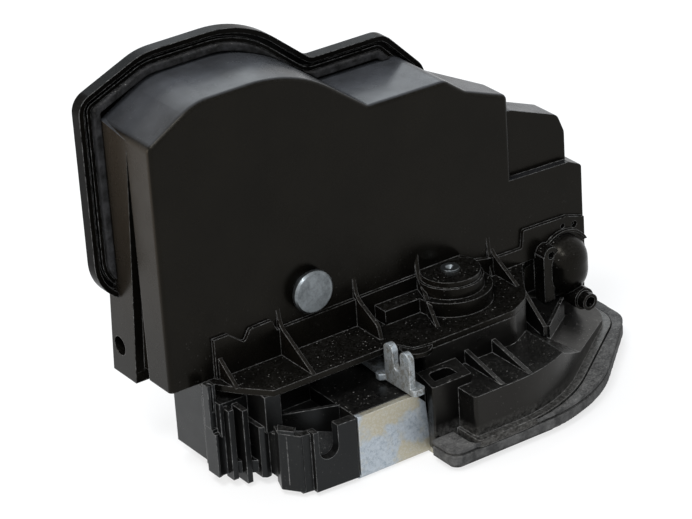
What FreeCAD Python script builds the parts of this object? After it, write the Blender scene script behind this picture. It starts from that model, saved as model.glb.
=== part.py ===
import FreeCAD, Part
import math
import os
from FreeCAD import Vector

# Door latch actuator, in millimetres.
# Shapes are drawn from the left edge of the big front panel (x), the panel's own plane (y, growing towards
# the rear cover) and the outer side of the steel face plate (z). The last lines move every piece so that the
# origin is the front bolt hole of the face plate, on its outer side.

# Levels above the outer side of the face plate
PLATE_T = 2.5
CATCH_GAP = 1.5
CATCH_T = 5.0
SPRING_ROOM = 4.0
BACK_T = 2.0
DECK_GAP = 1.0
DECK_T = 5.0
LEVER_GAP = 1.0
LEVER_T = 1.9
LEVER_ROOM = 6.1
SHELF_T = 2.0

CATCH_Z = PLATE_T + CATCH_GAP
BACK_Z = CATCH_Z + CATCH_T + SPRING_ROOM
DECK_Z = BACK_Z + BACK_T + DECK_GAP
DECK_TOP = DECK_Z + DECK_T
LEVER_Z = DECK_TOP + LEVER_GAP
SHELF_Z = LEVER_Z + LEVER_T + LEVER_ROOM
FLOOR_Z = SHELF_Z + SHELF_T

# Fits
PLAY = 0.3
RUN = 0.05

# Front panel of the actuator housing
PANEL_W = 124.0
SHOULDER_H = 77.0
CROWN_H = 86.5
CROWN_X1 = 16.5
CROWN_X2 = 49.9
VALLEY_X = 74.1
VALLEY_H = 67.8
SADDLE_X = 101.6
BROW_X = 109.0
BROW_H = 61.6
CORNER_H = 55.9
WALL = 2.2
BOX_D = 26.2
EDGE_R = 1.4
SLANT_X = 103.0
SLANT_Y = 9.5

# Lower right end and the second, set-back panel
END_X = 150.3
END_H = 27.0
END_D = 24.0
SIDE_PANEL_Y = 2.5
SIDE_PANEL_X = 146.1
SIDE_PANEL_H = 49.6
SIDE_PANEL_BACK = 12.5

# Pillar and wedge recess on the left end
PILLAR_TOP = 76.0
PILLAR_FOOT = 4.5
PILLAR_FRONT = 12.0
PILLAR_FOOT_FRONT = 19.5
PILLAR_BACK = 25.6
PILLAR_FOOT_BACK = 32.0
PILLAR_T = 5.0
RECESS_D = 3.0
PILLAR_HOLE_R = 3.0
PILLAR_HOLE_Y = 27.0
PILLAR_HOLE_H = 5.0
PILLAR_HOLE_DEPTH = 3.6

# Rear cover, its channelled rim and the foam in the channel
RIM = 7.2
RIM_T = 1.6
LIP_IN = 3.2
LIP_T = 1.2
FOAM_IN = 4.6
FOAM_W = 2.3
FOAM_D = 2.6
RIM_D = 2.4
COVER_T = 1.6
LOOP_LOW = 20.0
LOOP_X = 113.0
DOME_IN = 11.5
DOME_D = 7.0
DOME_EDGE_R = 2.5
SOCKET_X = 70.0
SOCKET_H = 42.0
SOCKET_W = 24.0
SOCKET_T = 14.0
SOCKET_D = 11.0
SOCKET_WALL = 1.6
PIN_COUNT = 6
PIN_PITCH = 3.2
PIN_W = 0.8
SCREW_R = 1.4
SCREW_HEAD_R = 2.9
SCREW_HEAD_T = 1.8
SCREW_L = 12.0
BOSS_R = 3.2

# Latch: slot, catch and pawl. The striker is a bar 10 wide that enters the slot towards the front panel.
SLOT_X = 104.0
SLOT_W = 13.0
SEAT_Y = -4.0
CATCH_ARM = 16.0
MOUTH_W = 11.0
HUB_R = 4.0
HUB_T = 2.4
JACKET_T = 1.2
JACKET_SKIN = 0.9
CATCH_TURN = 60.0
PAWL_X = -16.5
PAWL_Y = 14.0
PAWL_OUT = 16.0
PAWL_PIN_R = 3.0
PIN_END_R = 2.6
RIVET_R = 4.4
RIVET_T = 0.9

# Face plate
PLATE_LEFT = 43.5
PLATE_FRONT = -30.0
PLATE_BACK = 25.0
PLATE_RIGHT = 149.0
PLATE_BOW = -37.0
FLANGE_T = 2.0
FLANGE_W = 25.1
BEND_R = 2.5
BOLT_R = 2.5
COLLAR_R = 4.6
COLLAR_H = 3.6
BOLT_Y = -26.0
BOLT_LEFT_X = 60.0
BOLT_LEFT_Y = 15.0
BOLT_RIGHT_X = 142.0
BOLT_RIGHT_Y = 14.0

# Latch housing
BASE_WALL = 2.4
BASE_FRONT = -42.7
BASE_BACK = 27.0
STEP_Y = -24.0
STEP_LEFT = 72.0
STEP_RIGHT = 105.0
BOW_LEFT = 76.0
RIM_Z = 5.6
RIM_H = 2.4
RIM_OUT = 2.5
POST_X = 67.0
POST_W = 14.0
POST_Y = -34.5
POST_TOP = 24.0
POCKET = 3.0
FRONT_WALL_X = 26.0
FRONT_WALL_TOP = 21.0
FRONT_WALL_LOW = 1.6
NOTCH_R = 3.2
DECK_END_X = 112.3
SLOPE_H = 1.5
SLOPE_FALL = 0.42
RAMP_FALL = 0.6

# Cable holder beside the latch housing: a front wall with a notch, and a comb at its left
NOTCH_X = 33.4
NOTCH_Z = 14.4
COMB_X = 9.4
COMB_T = 1.8
COMB_LOW = 4.0
CLIP_Z = 23.5
CLIP_TOP = 33.3
CLIP_W = 2.5
CLIP_SLOT = 0.6
STAIR_RUN = 1.1
STAIR_RISE = 0.8
TOWER_Y = -15.8
POST_FRONT = -14.6

# Base seal
SEAL_Z = 0.9
SEAL_H = 7.6
SEAL_FRONT = -45.3
SEAL_LEFT = 65.5
SEAL_LIP = 1.5
SEAL_GROOVE = 1.2
SEAL_GROOVE_Z = 5.4

# Release lever with its fork
LEVER_X = 55.0
LEVER_Y = 5.0
LEVER_PIN_R = 3.0
FORK_X = 61.7
FORK_BACK = -18.3
FORK_FRONT = -30.8
PRONG_W = 4.5
FORK_H = 11.5
FORK_FOOT = 2.5
LEVER_TURN = 26.0

# Right end: the capped barrel and the hose nozzle
NECK_X = 126.6
CAP_LOW = 18.4
CAP_X = 140.5
CAP_Y = -1.5
CAP_R = 8.0
CAP_ROUND_LOW = 25.5
CAP_ROUND_TOP = 29.0
ARCH_X = 141.3
ARCH_Z = 28.5
ARCH_R = 9.7
ARCH_T = 0.8
EAR_X = 133.6
EAR_Z = 33.5
EAR_R = 2.7
EAR_HOLE_R = 1.2
NOZZLE_X = 142.4
NOZZLE_Z = 17.3
NOZZLE_R = 2.7
NOZZLE_BORE_R = 1.7
NOZZLE_L = 3.0
NOZZLE_Y = -12.6

# Panel fittings
STUD_X = 48.8
STUD_H = 17.4
STUD_HEAD_R = 6.7
STUD_HEAD_T = 1.8
STUD_OUT = 3.8
STUD_COLLAR_R = 5.2
STUD_R = 3.0
BOSS_X = 95.9
BOSS_Y = -5.3
BOSS_RINGS = [(12.5, 4.6), (10.0, 8.0), (9.2, 9.8)]
BOSS_PIN_R = 2.8
BOSS_PIN_OUT = 0.7
RELIEF_T = 1.2

# Drives inside the box
GEAR_TEETH = 24
GEAR_R = 12.0
WORM_R = 3.5
TOOTH_D = 1.0
GEAR_W = 5.0
GEAR_Y = 12.0
WORM_L = 11.0
SHAFT_R = 1.0
MOTOR_R = 8.6
MOTOR_L = 20.0
MOTOR_FLAT = 7.4
MOTOR_GAP = 5.0
SHAFT_IN = 2.5
CARRIER_Y = WALL + 0.2
CARRIER_T = 1.3
LOCK_X = 21.0
MOTOR_HEADROOM = 6.3
LOCK_H = CROWN_H - WALL - MOTOR_HEADROOM - MOTOR_L - MOTOR_GAP - WORM_L / 2
GEAR_PIN_R = 2.0
LOCK_LEVER_T = 2.0


def place(plane, u, v, w):
    """The point u, v on a plane, w along its normal."""
    return {"xy": Vector(u, v, w), "xz": Vector(u, w, v), "yz": Vector(w, u, v)}[plane]


def outline(corners, plane="xy"):
    """A closed wire through corners (u, v) or (u, v, radius)."""
    count = len(corners)
    flat = [Vector(corner[0], corner[1], 0) for corner in corners]
    runs = []
    for index, corner in enumerate(corners):
        here = flat[index]
        radius = corner[2] if len(corner) > 2 else 0
        if radius == 0:
            runs.append((here, None, here))
            continue
        back = (flat[index - 1] - here).normalize()
        ahead = (flat[(index + 1) % count] - here).normalize()
        half = back.getAngle(ahead) / 2
        reach = radius / math.tan(half)
        middle = (back + ahead).normalize() * (radius / math.sin(half) - radius)
        runs.append((here + back * reach, here + middle, here + ahead * reach))
    edges = []
    for index, (start, middle, end) in enumerate(runs):
        last = runs[index - 1][2]
        if last.distanceToPoint(start) > 0.001:
            edges.append(Part.LineSegment(place(plane, last.x, last.y, 0), place(plane, start.x, start.y, 0)))
        if middle is not None:
            edges.append(Part.Arc(*(place(plane, p.x, p.y, 0) for p in (start, middle, end))))
    return Part.Wire([edge.toShape() for edge in edges])


def slab(wire, plane, low, high):
    """The wire's inside, from low to high along the plane's normal."""
    solid = Part.Face(wire).extrude(place(plane, 0, 0, high - low))
    solid.translate(place(plane, 0, 0, low))
    return solid


def plate(corners, plane, low, high):
    return slab(outline(corners, plane), plane, low, high)


def grown(corners, plane, by):
    """The outline moved outwards, or inwards where by is negative."""
    return outline(corners, plane).makeOffset2D(by)


def ring(corners, plane, outer, inner, low, high):
    return slab(grown(corners, plane, outer), plane, low, high).cut(
        slab(grown(corners, plane, inner), plane, low - 1, high + 1))


def block(x1, x2, y1, y2, z1, z2):
    return Part.makeBox(x2 - x1, y2 - y1, z2 - z1, Vector(x1, y1, z1))


def rod(axis, u, v, radius, low, high):
    """A round bar along x, y or z, centred on the other two coordinates."""
    start = {"x": Vector(low, u, v), "y": Vector(u, low, v), "z": Vector(u, v, low)}[axis]
    turn = {"x": Vector(1, 0, 0), "y": Vector(0, 1, 0), "z": Vector(0, 0, 1)}[axis]
    return Part.makeCylinder(radius, high - low, start, turn)


def turned(shape, x, y, angle):
    """The shape turned about a vertical axis."""
    copy = shape.copy()
    copy.rotate(Vector(x, y, 0), Vector(0, 0, 1), angle)
    return copy


def fuse(first, *others):
    return first.multiFuse(list(others)).removeSplitter()


# The panel's outline, as x and height above the floor of the box
PANEL = [
    (0, FLOOR_Z), (0, FLOOR_Z + SHOULDER_H, 3), (CROWN_X1, FLOOR_Z + CROWN_H, 18),
    (CROWN_X2, FLOOR_Z + CROWN_H, 45), (VALLEY_X, FLOOR_Z + VALLEY_H, 1.5),
    (SADDLE_X, FLOOR_Z + VALLEY_H - 0.5, 5), (BROW_X, FLOOR_Z + BROW_H, 6),
    (PANEL_W - 0.2, FLOOR_Z + CORNER_H, 2), (PANEL_W, FLOOR_Z)]

# The rear cover's outline stands a rim outside the panel's
LOOP = [
    (-RIM, FLOOR_Z + LOOP_LOW, 14), (-RIM, FLOOR_Z + SHOULDER_H + 8, 6),
    (CROWN_X1 - 1.5, FLOOR_Z + CROWN_H + RIM + 0.5, 20), (CROWN_X2 - 0.4, FLOOR_Z + CROWN_H + RIM + 0.5, 36),
    (VALLEY_X - 3.1, FLOOR_Z + VALLEY_H + RIM + 1, 4), (SADDLE_X - 4.2, FLOOR_Z + VALLEY_H + RIM + 0.8, 7),
    (LOOP_X - 2, FLOOR_Z + BROW_H, 8), (LOOP_X, FLOOR_Z + LOOP_LOW, 12)]

# The face plate's outline in plan, without its slot
PLATE = [
    (PLATE_LEFT, PLATE_FRONT + 0.1), (PLATE_LEFT + FLANGE_W, PLATE_FRONT + 0.1),
    (PLATE_LEFT + FLANGE_W + 1, PLATE_BOW, 3), (SLOT_X + 3, PLATE_BOW, 40), (PLATE_RIGHT - 2, -6.5, 10),
    (PLATE_RIGHT, PLATE_BACK, 4), (PLATE_LEFT, PLATE_BACK, 4)]

# The latch housing's lower part in plan, and the step above it
BASE = [
    (BOW_LEFT, BASE_FRONT, 1), (SLOT_X + 3.4, BASE_FRONT, 50), (END_X - 0.8, -10.5, 9), (END_X, BASE_BACK, 3), (PLATE_LEFT, BASE_BACK, 3), (PLATE_LEFT, PLATE_FRONT + FLANGE_T + PLAY),
    (BOW_LEFT, PLATE_FRONT + FLANGE_T + PLAY)]
STEP = [
    (STEP_LEFT, STEP_Y, 2), (STEP_RIGHT, STEP_Y, 6), (113, -19.4, 9), (118.3, -11, 6), (NECK_X - PLAY, -0.3),
    (NECK_X - PLAY, BASE_BACK), (PLATE_LEFT, BASE_BACK, 3), (PLATE_LEFT, -9), (STEP_LEFT, -9)]

CATCH_X = SLOT_X + CATCH_ARM
GEAR_STEP = GEAR_R + WORM_R
STUD_Z = FLOOR_Z + STUD_H
LOCK_Z = FLOOR_Z + LOCK_H
LOCK_GEAR_X = LOCK_X + GEAR_STEP
COVER_Y = BOX_D + PLAY
BOLTS = [(SLOT_X, BOLT_Y), (BOLT_LEFT_X, BOLT_LEFT_Y), (BOLT_RIGHT_X, BOLT_RIGHT_Y)]
SCREWS = [
    (9, FLOOR_Z + 30), (9, FLOOR_Z + 71), (CROWN_X2 - 3, FLOOR_Z + CROWN_H - 6.5),
    (VALLEY_X, FLOOR_Z + VALLEY_H - 7), (SADDLE_X - 7, FLOOR_Z + VALLEY_H - 7), (SADDLE_X - 5, FLOOR_Z + 30)]


def box_solid(by):
    """The main box, grown by a clearance, with its back cut away on a slant at the right."""
    low_wire = grown(PANEL, "xz", by) if by else outline(PANEL, "xz")
    solid = slab(low_wire, "xz", -by, BOX_D)
    slant = [(SLANT_X + by, BOX_D + 1), (SLANT_X + by, BOX_D), (PANEL_W + by, SLANT_Y + by),
             (PANEL_W + 9, SLANT_Y + by), (PANEL_W + 9, BOX_D + 1)]
    return solid.cut(plate(slant, "xy", FLOOR_Z + END_H + 6, FLOOR_Z + CROWN_H + 1))


def end_block(by):
    """The low block at the right end, beside the box."""
    return block(PANEL_W - 22 - by, END_X + by, -by, END_D + by, FLOOR_Z - by, FLOOR_Z + END_H + by)


def panel_front_edges(shape):
    return [edge for edge in shape.Edges if max(abs(v.Point.y) for v in edge.Vertexes) < 0.01
            and edge.BoundBox.ZMax > FLOOR_Z + END_H + 4]


def gusset(x, top, bend, depth, turn=0, lift=0.0, thick=1.2):
    """A thin rib on the panel: upright from its top to the bend, then sloping down to its foot on the shelf."""
    end = [(-depth, FLOOR_Z + lift, 3)] if lift else []
    rib = plate([(0.5, FLOOR_Z + top), (-RELIEF_T * 0.8, FLOOR_Z + bend, 5), *end, (-depth - lift * 0.3, FLOOR_Z),
                 (0.5, FLOOR_Z)], "yz", x - thick / 2, x + thick / 2)
    rib.rotate(Vector(x, 0, 0), Vector(0, 0, 1), turn)
    return rib


def actuator_housing():
    shell = box_solid(0)
    shell = shell.makeFillet(EDGE_R, panel_front_edges(shell))
    side_panel = plate([(PANEL_W - 6, FLOOR_Z + 20), (PANEL_W - 6, FLOOR_Z + SIDE_PANEL_H + 0.8),
                        (PANEL_W + 2.5, FLOOR_Z + SIDE_PANEL_H - 0.2),
                        (SIDE_PANEL_X - 2.4, FLOOR_Z + SIDE_PANEL_H - 7, 3),
                        (SIDE_PANEL_X, FLOOR_Z + SIDE_PANEL_H - 13, 4), (SIDE_PANEL_X, FLOOR_Z + 20)],
                       "xz", SIDE_PANEL_Y, SIDE_PANEL_BACK)
    end = plate([(PANEL_W - 22, FLOOR_Z), (PANEL_W - 22, FLOOR_Z + END_H + 1.9),
                 (SIDE_PANEL_X - 0.4, FLOOR_Z + END_H + 0.2, 1), (END_X, FLOOR_Z + END_H - 2, 1.5),
                 (END_X, FLOOR_Z)], "xz", 0, END_D)
    shelf = plate([(11, 2), (11, 0), (17.2, -9.7), (23.6, -17.5, 1), (STEP_LEFT - 6, -17.5),
                   (STEP_LEFT - 3, STEP_Y + 1, 1), (STEP_LEFT + 2, STEP_Y, 1), (STEP_RIGHT, STEP_Y, 6),
                   (113.2, -19.6, 9), (118.6, -11, 6), (126, -0.5, 8), (END_X, -0.4), (END_X, END_D),
                   (11, END_D)], "xy", SHELF_Z, FLOOR_Z + 0.01)
    corner = rod("z", 70.7, -21.8, 4.9, SHELF_Z, FLOOR_Z - 0.6)
    pillar = plate([(PILLAR_FRONT, FLOOR_Z + PILLAR_TOP), (PILLAR_BACK, FLOOR_Z + PILLAR_TOP + 2),
                    (PILLAR_FOOT_BACK, FLOOR_Z - PILLAR_FOOT), (PILLAR_FOOT_FRONT, FLOOR_Z - PILLAR_FOOT)],
                   "yz", 0, PILLAR_T)
    recess = plate([(PILLAR_FRONT - 0.5, FLOOR_Z - 1), (PILLAR_FRONT, FLOOR_Z + PILLAR_TOP - 2),
                    (PILLAR_FOOT_FRONT - 0.3, FLOOR_Z - 1)], "yz", -0.1, RECESS_D)
    hole = rod("x", PILLAR_HOLE_Y, FLOOR_Z + PILLAR_HOLE_H, PILLAR_HOLE_R, -0.1, PILLAR_HOLE_DEPTH)
    rings = [rod("z", BOSS_X, BOSS_Y, radius, FLOOR_Z - 0.1, FLOOR_Z + high) for radius, high in BOSS_RINGS]
    ledge = block(71, BOSS_X, -6.5, 0.5, FLOOR_Z - 0.1, FLOOR_Z + 4.6)
    relief = plate([(15, FLOOR_Z), (15, FLOOR_Z + 12.7), (20, FLOOR_Z + 12.7), (25.4, FLOOR_Z + 8.4, 1),
                    (27.5, FLOOR_Z + 11.9, 1), (35, FLOOR_Z + 12.2, 1), (36.5, FLOOR_Z + 8.6),
                    (BOSS_X, FLOOR_Z + 9.2), (117.5, FLOOR_Z + 5), (126, FLOOR_Z + 4.8, 0.8),
                    (126.6, FLOOR_Z + 10.6, 0.8), (143, FLOOR_Z + 10.1, 1), (END_X - 0.5, FLOOR_Z + 8),
                    (END_X - 0.5, FLOOR_Z)], "xz", -RELIEF_T, 0.5)
    ribs = [gusset(16.6, 9.5, 6.5, 9.7), gusset(38, 17, 9.5, 17.2), gusset(65, 18.5, 9.3, 11.5, lift=4.1),
            gusset(87.6, 17, 8.6, 18.5, turn=-18), gusset(115.4, 8.5, 6.5, 12.5), gusset(114, 17, 4, 2.2)]
    cap = fuse(rod("z", CAP_X, CAP_Y, CAP_R, CAP_ROUND_LOW, CAP_ROUND_TOP),
               Part.makeSphere(CAP_R, Vector(CAP_X, CAP_Y, CAP_ROUND_TOP)),
               Part.makeSphere(CAP_R, Vector(CAP_X, CAP_Y, CAP_ROUND_LOW)))
    arch = rod("y", ARCH_X, ARCH_Z, ARCH_R, -2.4, 0.5).cut(rod("y", ARCH_X, ARCH_Z, ARCH_R - ARCH_T, -3, 1))
    arch = arch.common(block(NECK_X, END_X, -3, 1, FLOOR_Z + 1, FLOOR_Z + 9))
    ear = rod("y", EAR_X, EAR_Z, EAR_R, -5.5, 0.5).cut(rod("y", EAR_X, EAR_Z, EAR_HOLE_R, -6, -3))
    column = block(130.6, 134.4, -5.5, 0.5, CAP_LOW, EAR_Z).cut(rod("y", EAR_X, EAR_Z, EAR_HOLE_R, -6, -3))
    nozzle = fuse(rod("y", NOZZLE_X, NOZZLE_Z, NOZZLE_R, NOZZLE_Y, -4),
                  rod("y", NOZZLE_X, NOZZLE_Z, NOZZLE_R + 0.8, NOZZLE_Y + NOZZLE_L, -4))
    neck = block(NECK_X, END_X, -0.5, END_D, DECK_TOP + PLAY, SHELF_Z + 0.1)
    cap = cap.cut(block(NECK_X, END_X, -0.8, END_D, 0, DECK_TOP + PLAY))
    column = column.cut(block(NECK_X, END_X, -0.8, END_D, 0, DECK_TOP + PLAY))
    bosses = [rod("y", x, z, BOSS_R, WALL - 0.1, BOX_D) for x, z in SCREWS]
    pin_boss = rod("y", LOCK_GEAR_X, LOCK_Z, GEAR_PIN_R + 1.6, WALL - 0.1, GEAR_Y - PLAY)
    whole = fuse(shell, side_panel, end, shelf, corner, pillar, *rings, ledge, relief, *ribs, cap, arch, ear,
                 column, nozzle, neck)
    inside = slab(grown(PANEL, "xz", -WALL), "xz", WALL, BOX_D + 1)
    room = block(RECESS_D + WALL, SLANT_X - 1, WALL, BOX_D + 1, FLOOR_Z + WALL, FLOOR_Z + CROWN_H)
    low_back = block(-1, PANEL_W, BOX_D - WALL, BOX_D + 1, FLOOR_Z, FLOOR_Z + LOOP_LOW + 6)
    pockets = fuse(bosses[0], *bosses[1:], pin_boss)
    hollow = inside.common(room).cut(low_back).cut(pockets)
    whole = whole.cut(hollow).cut(recess).cut(hole)
    cuts = [rod("y", x, z, SCREW_R, BOX_D - SCREW_L, BOX_D + 1) for x, z in SCREWS]
    cuts += [rod("y", STUD_X, STUD_Z, STUD_R, -2, WALL + 1), rod("y", LOCK_GEAR_X, LOCK_Z, GEAR_PIN_R, WALL, BOX_D),
             rod("z", BOSS_X, BOSS_Y, BOSS_PIN_R, SHELF_Z - 1, FLOOR_Z + 12),
             rod("y", NOZZLE_X, NOZZLE_Z, NOZZLE_BORE_R, NOZZLE_Y - 1, -5),
             rod("y", 141.5, FLOOR_Z + 7.3, 0.8, -2, 0.3), rod("y", 145.9, FLOOR_Z + 6.5, 1.1, -2, 0.3)]
    for cut in cuts:
        whole = whole.cut(cut)
    return whole


def rear_cover():
    edge = slab(outline(LOOP, "xz"), "xz", COVER_Y, COVER_Y + COVER_T)
    rim = ring(LOOP, "xz", 0.0001, -RIM_T, COVER_Y - RIM_D, COVER_Y + 0.1)
    lip = ring(LOOP, "xz", -LIP_IN, -LIP_IN - LIP_T, COVER_Y - RIM_D + 1, COVER_Y + 0.1)
    top = slab(grown(LOOP, "xz", -DOME_IN), "xz", COVER_Y + COVER_T - 0.1, COVER_Y + COVER_T + DOME_D)
    back = COVER_Y + COVER_T + DOME_D
    rear_edges = [e for e in top.Edges if e.BoundBox.YMin > back - 0.01]
    top = top.makeFillet(DOME_EDGE_R, rear_edges)
    under = slab(grown(LOOP, "xz", -DOME_IN - WALL), "xz", COVER_Y - 0.1, back - WALL)
    socket_z = FLOOR_Z + SOCKET_H
    socket = block(SOCKET_X, SOCKET_X + SOCKET_W, back - 1, back + SOCKET_D, socket_z, socket_z + SOCKET_T)
    mouth = block(SOCKET_X + SOCKET_WALL, SOCKET_X + SOCKET_W - SOCKET_WALL, back + 1, back + SOCKET_D + 1,
                  socket_z + SOCKET_WALL, socket_z + SOCKET_T - SOCKET_WALL)
    whole = fuse(edge, rim, lip, top, socket).cut(under).cut(mouth)
    seats = [rod("y", x, z, BOSS_R + 1.2, COVER_Y, COVER_Y + COVER_T) for x, z in SCREWS]
    whole = fuse(whole, *seats)
    for x, z in SCREWS:
        whole = whole.cut(rod("y", x, z, SCREW_R + PLAY, COVER_Y - 1, COVER_Y + COVER_T + 1))
        whole = whole.cut(rod("y", x, z, SCREW_HEAD_R + PLAY, COVER_Y + COVER_T, back + 1))
    for x, z in pin_places():
        whole = whole.cut(block(x - PIN_W / 2, x + PIN_W / 2, back - WALL - 1, back + 1.1, z - PIN_W / 2,
                                z + PIN_W / 2))
    return whole.cut(box_solid(PLAY)).cut(end_block(PLAY)).cut(pillar_clearance())


def pillar_clearance():
    return plate([(PILLAR_FRONT - PLAY, FLOOR_Z + PILLAR_TOP), (PILLAR_BACK + PLAY, FLOOR_Z + PILLAR_TOP + 3),
                  (PILLAR_FOOT_BACK + PLAY, FLOOR_Z - PILLAR_FOOT - 1),
                  (PILLAR_FOOT_FRONT - PLAY, FLOOR_Z - PILLAR_FOOT - 1)], "yz", -PLAY, PILLAR_T + PLAY)


def cover_seal():
    foam = ring(LOOP, "xz", -FOAM_IN, -FOAM_IN - FOAM_W, COVER_Y - FOAM_D, COVER_Y)
    return foam.cut(box_solid(0.1)).cut(end_block(0.1)).cut(pillar_clearance())


def cover_screws():
    screws = []
    for x, z in SCREWS:
        shank = rod("y", x, z, SCREW_R, BOX_D - SCREW_L, COVER_Y + COVER_T)
        head = rod("y", x, z, SCREW_HEAD_R, COVER_Y + COVER_T, COVER_Y + COVER_T + SCREW_HEAD_T)
        socket = rod("y", x, z, 1.3, COVER_Y + COVER_T + 0.8, COVER_Y + COVER_T + SCREW_HEAD_T + 1)
        screws.append(fuse(shank, head).cut(socket))
    return Part.makeCompound(screws)


def pin_places():
    middle = SOCKET_X + SOCKET_W / 2
    first = middle - PIN_PITCH * (PIN_COUNT - 1) / 2
    z = FLOOR_Z + SOCKET_H + SOCKET_T / 2
    return [(first + PIN_PITCH * index, z) for index in range(PIN_COUNT)]


def connector_pins():
    back = COVER_Y + COVER_T + DOME_D
    return Part.makeCompound([block(x - PIN_W / 2, x + PIN_W / 2, back - WALL - 2, back + SOCKET_D - 3,
                                    z - PIN_W / 2, z + PIN_W / 2) for x, z in pin_places()])


def face_plate():
    sheet = plate(PLATE, "xy", 0, PLATE_T)
    flange = plate([(PLATE_FRONT, DECK_TOP), (PLATE_FRONT, 0, BEND_R), (PLATE_FRONT + 6, 0),
                    (PLATE_FRONT + 6, PLATE_T), (PLATE_FRONT + FLANGE_T, PLATE_T, 0.5),
                    (PLATE_FRONT + FLANGE_T, DECK_TOP)], "yz", PLATE_LEFT, PLATE_LEFT + FLANGE_W)
    slope = plate([(PLATE_LEFT + FLANGE_W - 4.6, DECK_TOP), (PLATE_LEFT + FLANGE_W - 1.3, DECK_TOP - 3.6),
                   (PLATE_LEFT + FLANGE_W + 0.1, 1), (PLATE_LEFT + FLANGE_W + 2, 1),
                   (PLATE_LEFT + FLANGE_W + 2, DECK_TOP + 1), (PLATE_LEFT + FLANGE_W - 4.6, DECK_TOP + 1)],
                  "xz", PLATE_FRONT - 1, PLATE_FRONT + FLANGE_T + 1)
    corner = block(PLATE_LEFT - 1, PLATE_LEFT + FLANGE_W, PLATE_FRONT - 1, PLATE_FRONT + BEND_R, -1, BEND_R)
    collars = [rod("z", x, y, COLLAR_R, PLATE_T - 0.1, PLATE_T + COLLAR_H) for x, y in BOLTS]
    whole = fuse(sheet.cut(corner), flange.cut(slope), *collars)
    for x, y in BOLTS:
        whole = whole.cut(rod("z", x, y, BOLT_R, -1, PLATE_T + COLLAR_H + 1))
    for x, y in (catch_place(), pawl_place()):
        whole = whole.cut(rod("z", x, y, PIN_END_R, -1, PLATE_T + 1))
        whole = whole.cut(rod("z", x, y, RIVET_R, -1, RIVET_T))
    return whole.cut(slot(PLATE_BACK + 2, -1, PLATE_T + 1))


def slot(back, low, high, wide=0.0):
    """The way in for the striker, with a round end and a flared mouth."""
    half = SLOT_W / 2 + wide
    end = SEAT_Y - half
    flare = PLATE_BACK - 6
    return plate([(SLOT_X - half, end, half - 0.1), (SLOT_X + half, end, half - 0.1), (SLOT_X + half, flare, 4),
                  (SLOT_X + half + 2.5, back), (SLOT_X - half - 2.5, back), (SLOT_X - half, flare, 4)],
                 "xy", low, high)


def catch_place():
    return CATCH_X, SEAT_Y


def pawl_place():
    return SLOT_X + PAWL_X, SEAT_Y + PAWL_Y


def back_plate():
    sheet = plate([(SLOT_X - 25, -17, 6), (SLOT_X - 14, -22, 6), (SLOT_X + 7, -22, 3), (CATCH_X + 4.5, -9, 3),
                   (CATCH_X + 8, 6, 6), (CATCH_X + 2, 20, 8), (SLOT_X - 20, 20, 8), (SLOT_X - 25, 14, 6)],
                  "xy", BACK_Z, BACK_Z + BACK_T)
    for x, y in (catch_place(), pawl_place()):
        sheet = sheet.cut(rod("z", x, y, PIN_END_R, BACK_Z - 1, BACK_Z + BACK_T + 1))
    mouth = plate([(SLOT_X - 5, 6, 4), (SLOT_X + 5, 6, 4), (SLOT_X + 5, 22), (SLOT_X - 5, 22)], "xy",
                  BACK_Z - 1, BACK_Z + BACK_T + 1)
    return sheet.cut(mouth)


def latch_pin(x, y, radius):
    """A shouldered pin riveted in the face plate and the back plate."""
    end = rod("z", x, y, PIN_END_R, 0.1, BACK_Z + BACK_T)
    head = rod("z", x, y, RIVET_R - 0.1, 0.1, RIVET_T)
    middle = rod("z", x, y, radius, PLATE_T, BACK_Z)
    foot = rod("z", x, y, radius + 1.6, PLATE_T, CATCH_Z - 0.1)
    cap = rod("z", x, y, RIVET_R - 1, BACK_Z + BACK_T, BACK_Z + BACK_T + 0.7)
    return fuse(end, head, middle, foot, cap)


def catch_corners():
    """The catch as it stands when it holds the striker, from its pivot."""
    half = MOUTH_W / 2
    seat = -CATCH_ARM + half + 0.5
    return [(-24, half, 1.5), (-24, 12.5, 3.5), (2, 14, 8), (11, 12, 8), (12, -8, 8), (0, -13.5, 6),
            (-27, -12.5, 4), (-27, -half, 1.5), (seat, -half, half - 0.1), (seat, half, half - 0.1)]


def open_catch(shape):
    x, y = catch_place()
    shape.translate(Vector(x, y, 0))
    return turned(shape, x, y, -CATCH_TURN)


def catch_core():
    return slab(grown(catch_corners(), "xy", -JACKET_T), "xy", CATCH_Z + JACKET_SKIN,
                CATCH_Z + CATCH_T - JACKET_SKIN)


def catch():
    hub = rod("z", 0, 0, HUB_R + HUB_T, CATCH_Z, CATCH_Z + CATCH_T)
    bore = rod("z", 0, 0, HUB_R, CATCH_Z - 1, CATCH_Z + CATCH_T + 1)
    return open_catch(fuse(catch_core(), hub).cut(bore))


def catch_jacket():
    """The plastic moulded round the steel catch, which keeps the striker quiet."""
    skin = plate(catch_corners(), "xy", CATCH_Z, CATCH_Z + CATCH_T)
    skin = skin.cut(catch_core()).cut(rod("z", 0, 0, HUB_R + HUB_T, CATCH_Z - 1, CATCH_Z + CATCH_T + 1))
    return open_catch(skin)


def pawl():
    blade = plate([(8.5, -19.2, 0.5), (6.1, -13, 6), (5.4, -3, 4), (5.5, 6, 5), (-6, 6, 5), (-9.5, 2, 2),
                   (-6.5, -4, 4), (0, -24, 2), (4.9, -24, 1.5), (4.9, -19.2)], "xy", CATCH_Z, CATCH_Z + CATCH_T)
    blade = blade.cut(rod("z", 0, 0, PAWL_PIN_R + RUN, CATCH_Z - 1, CATCH_Z + CATCH_T + 1))
    x, y = pawl_place()
    blade.translate(Vector(x, y, 0))
    return turned(blade, x, y, -PAWL_OUT)


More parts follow.
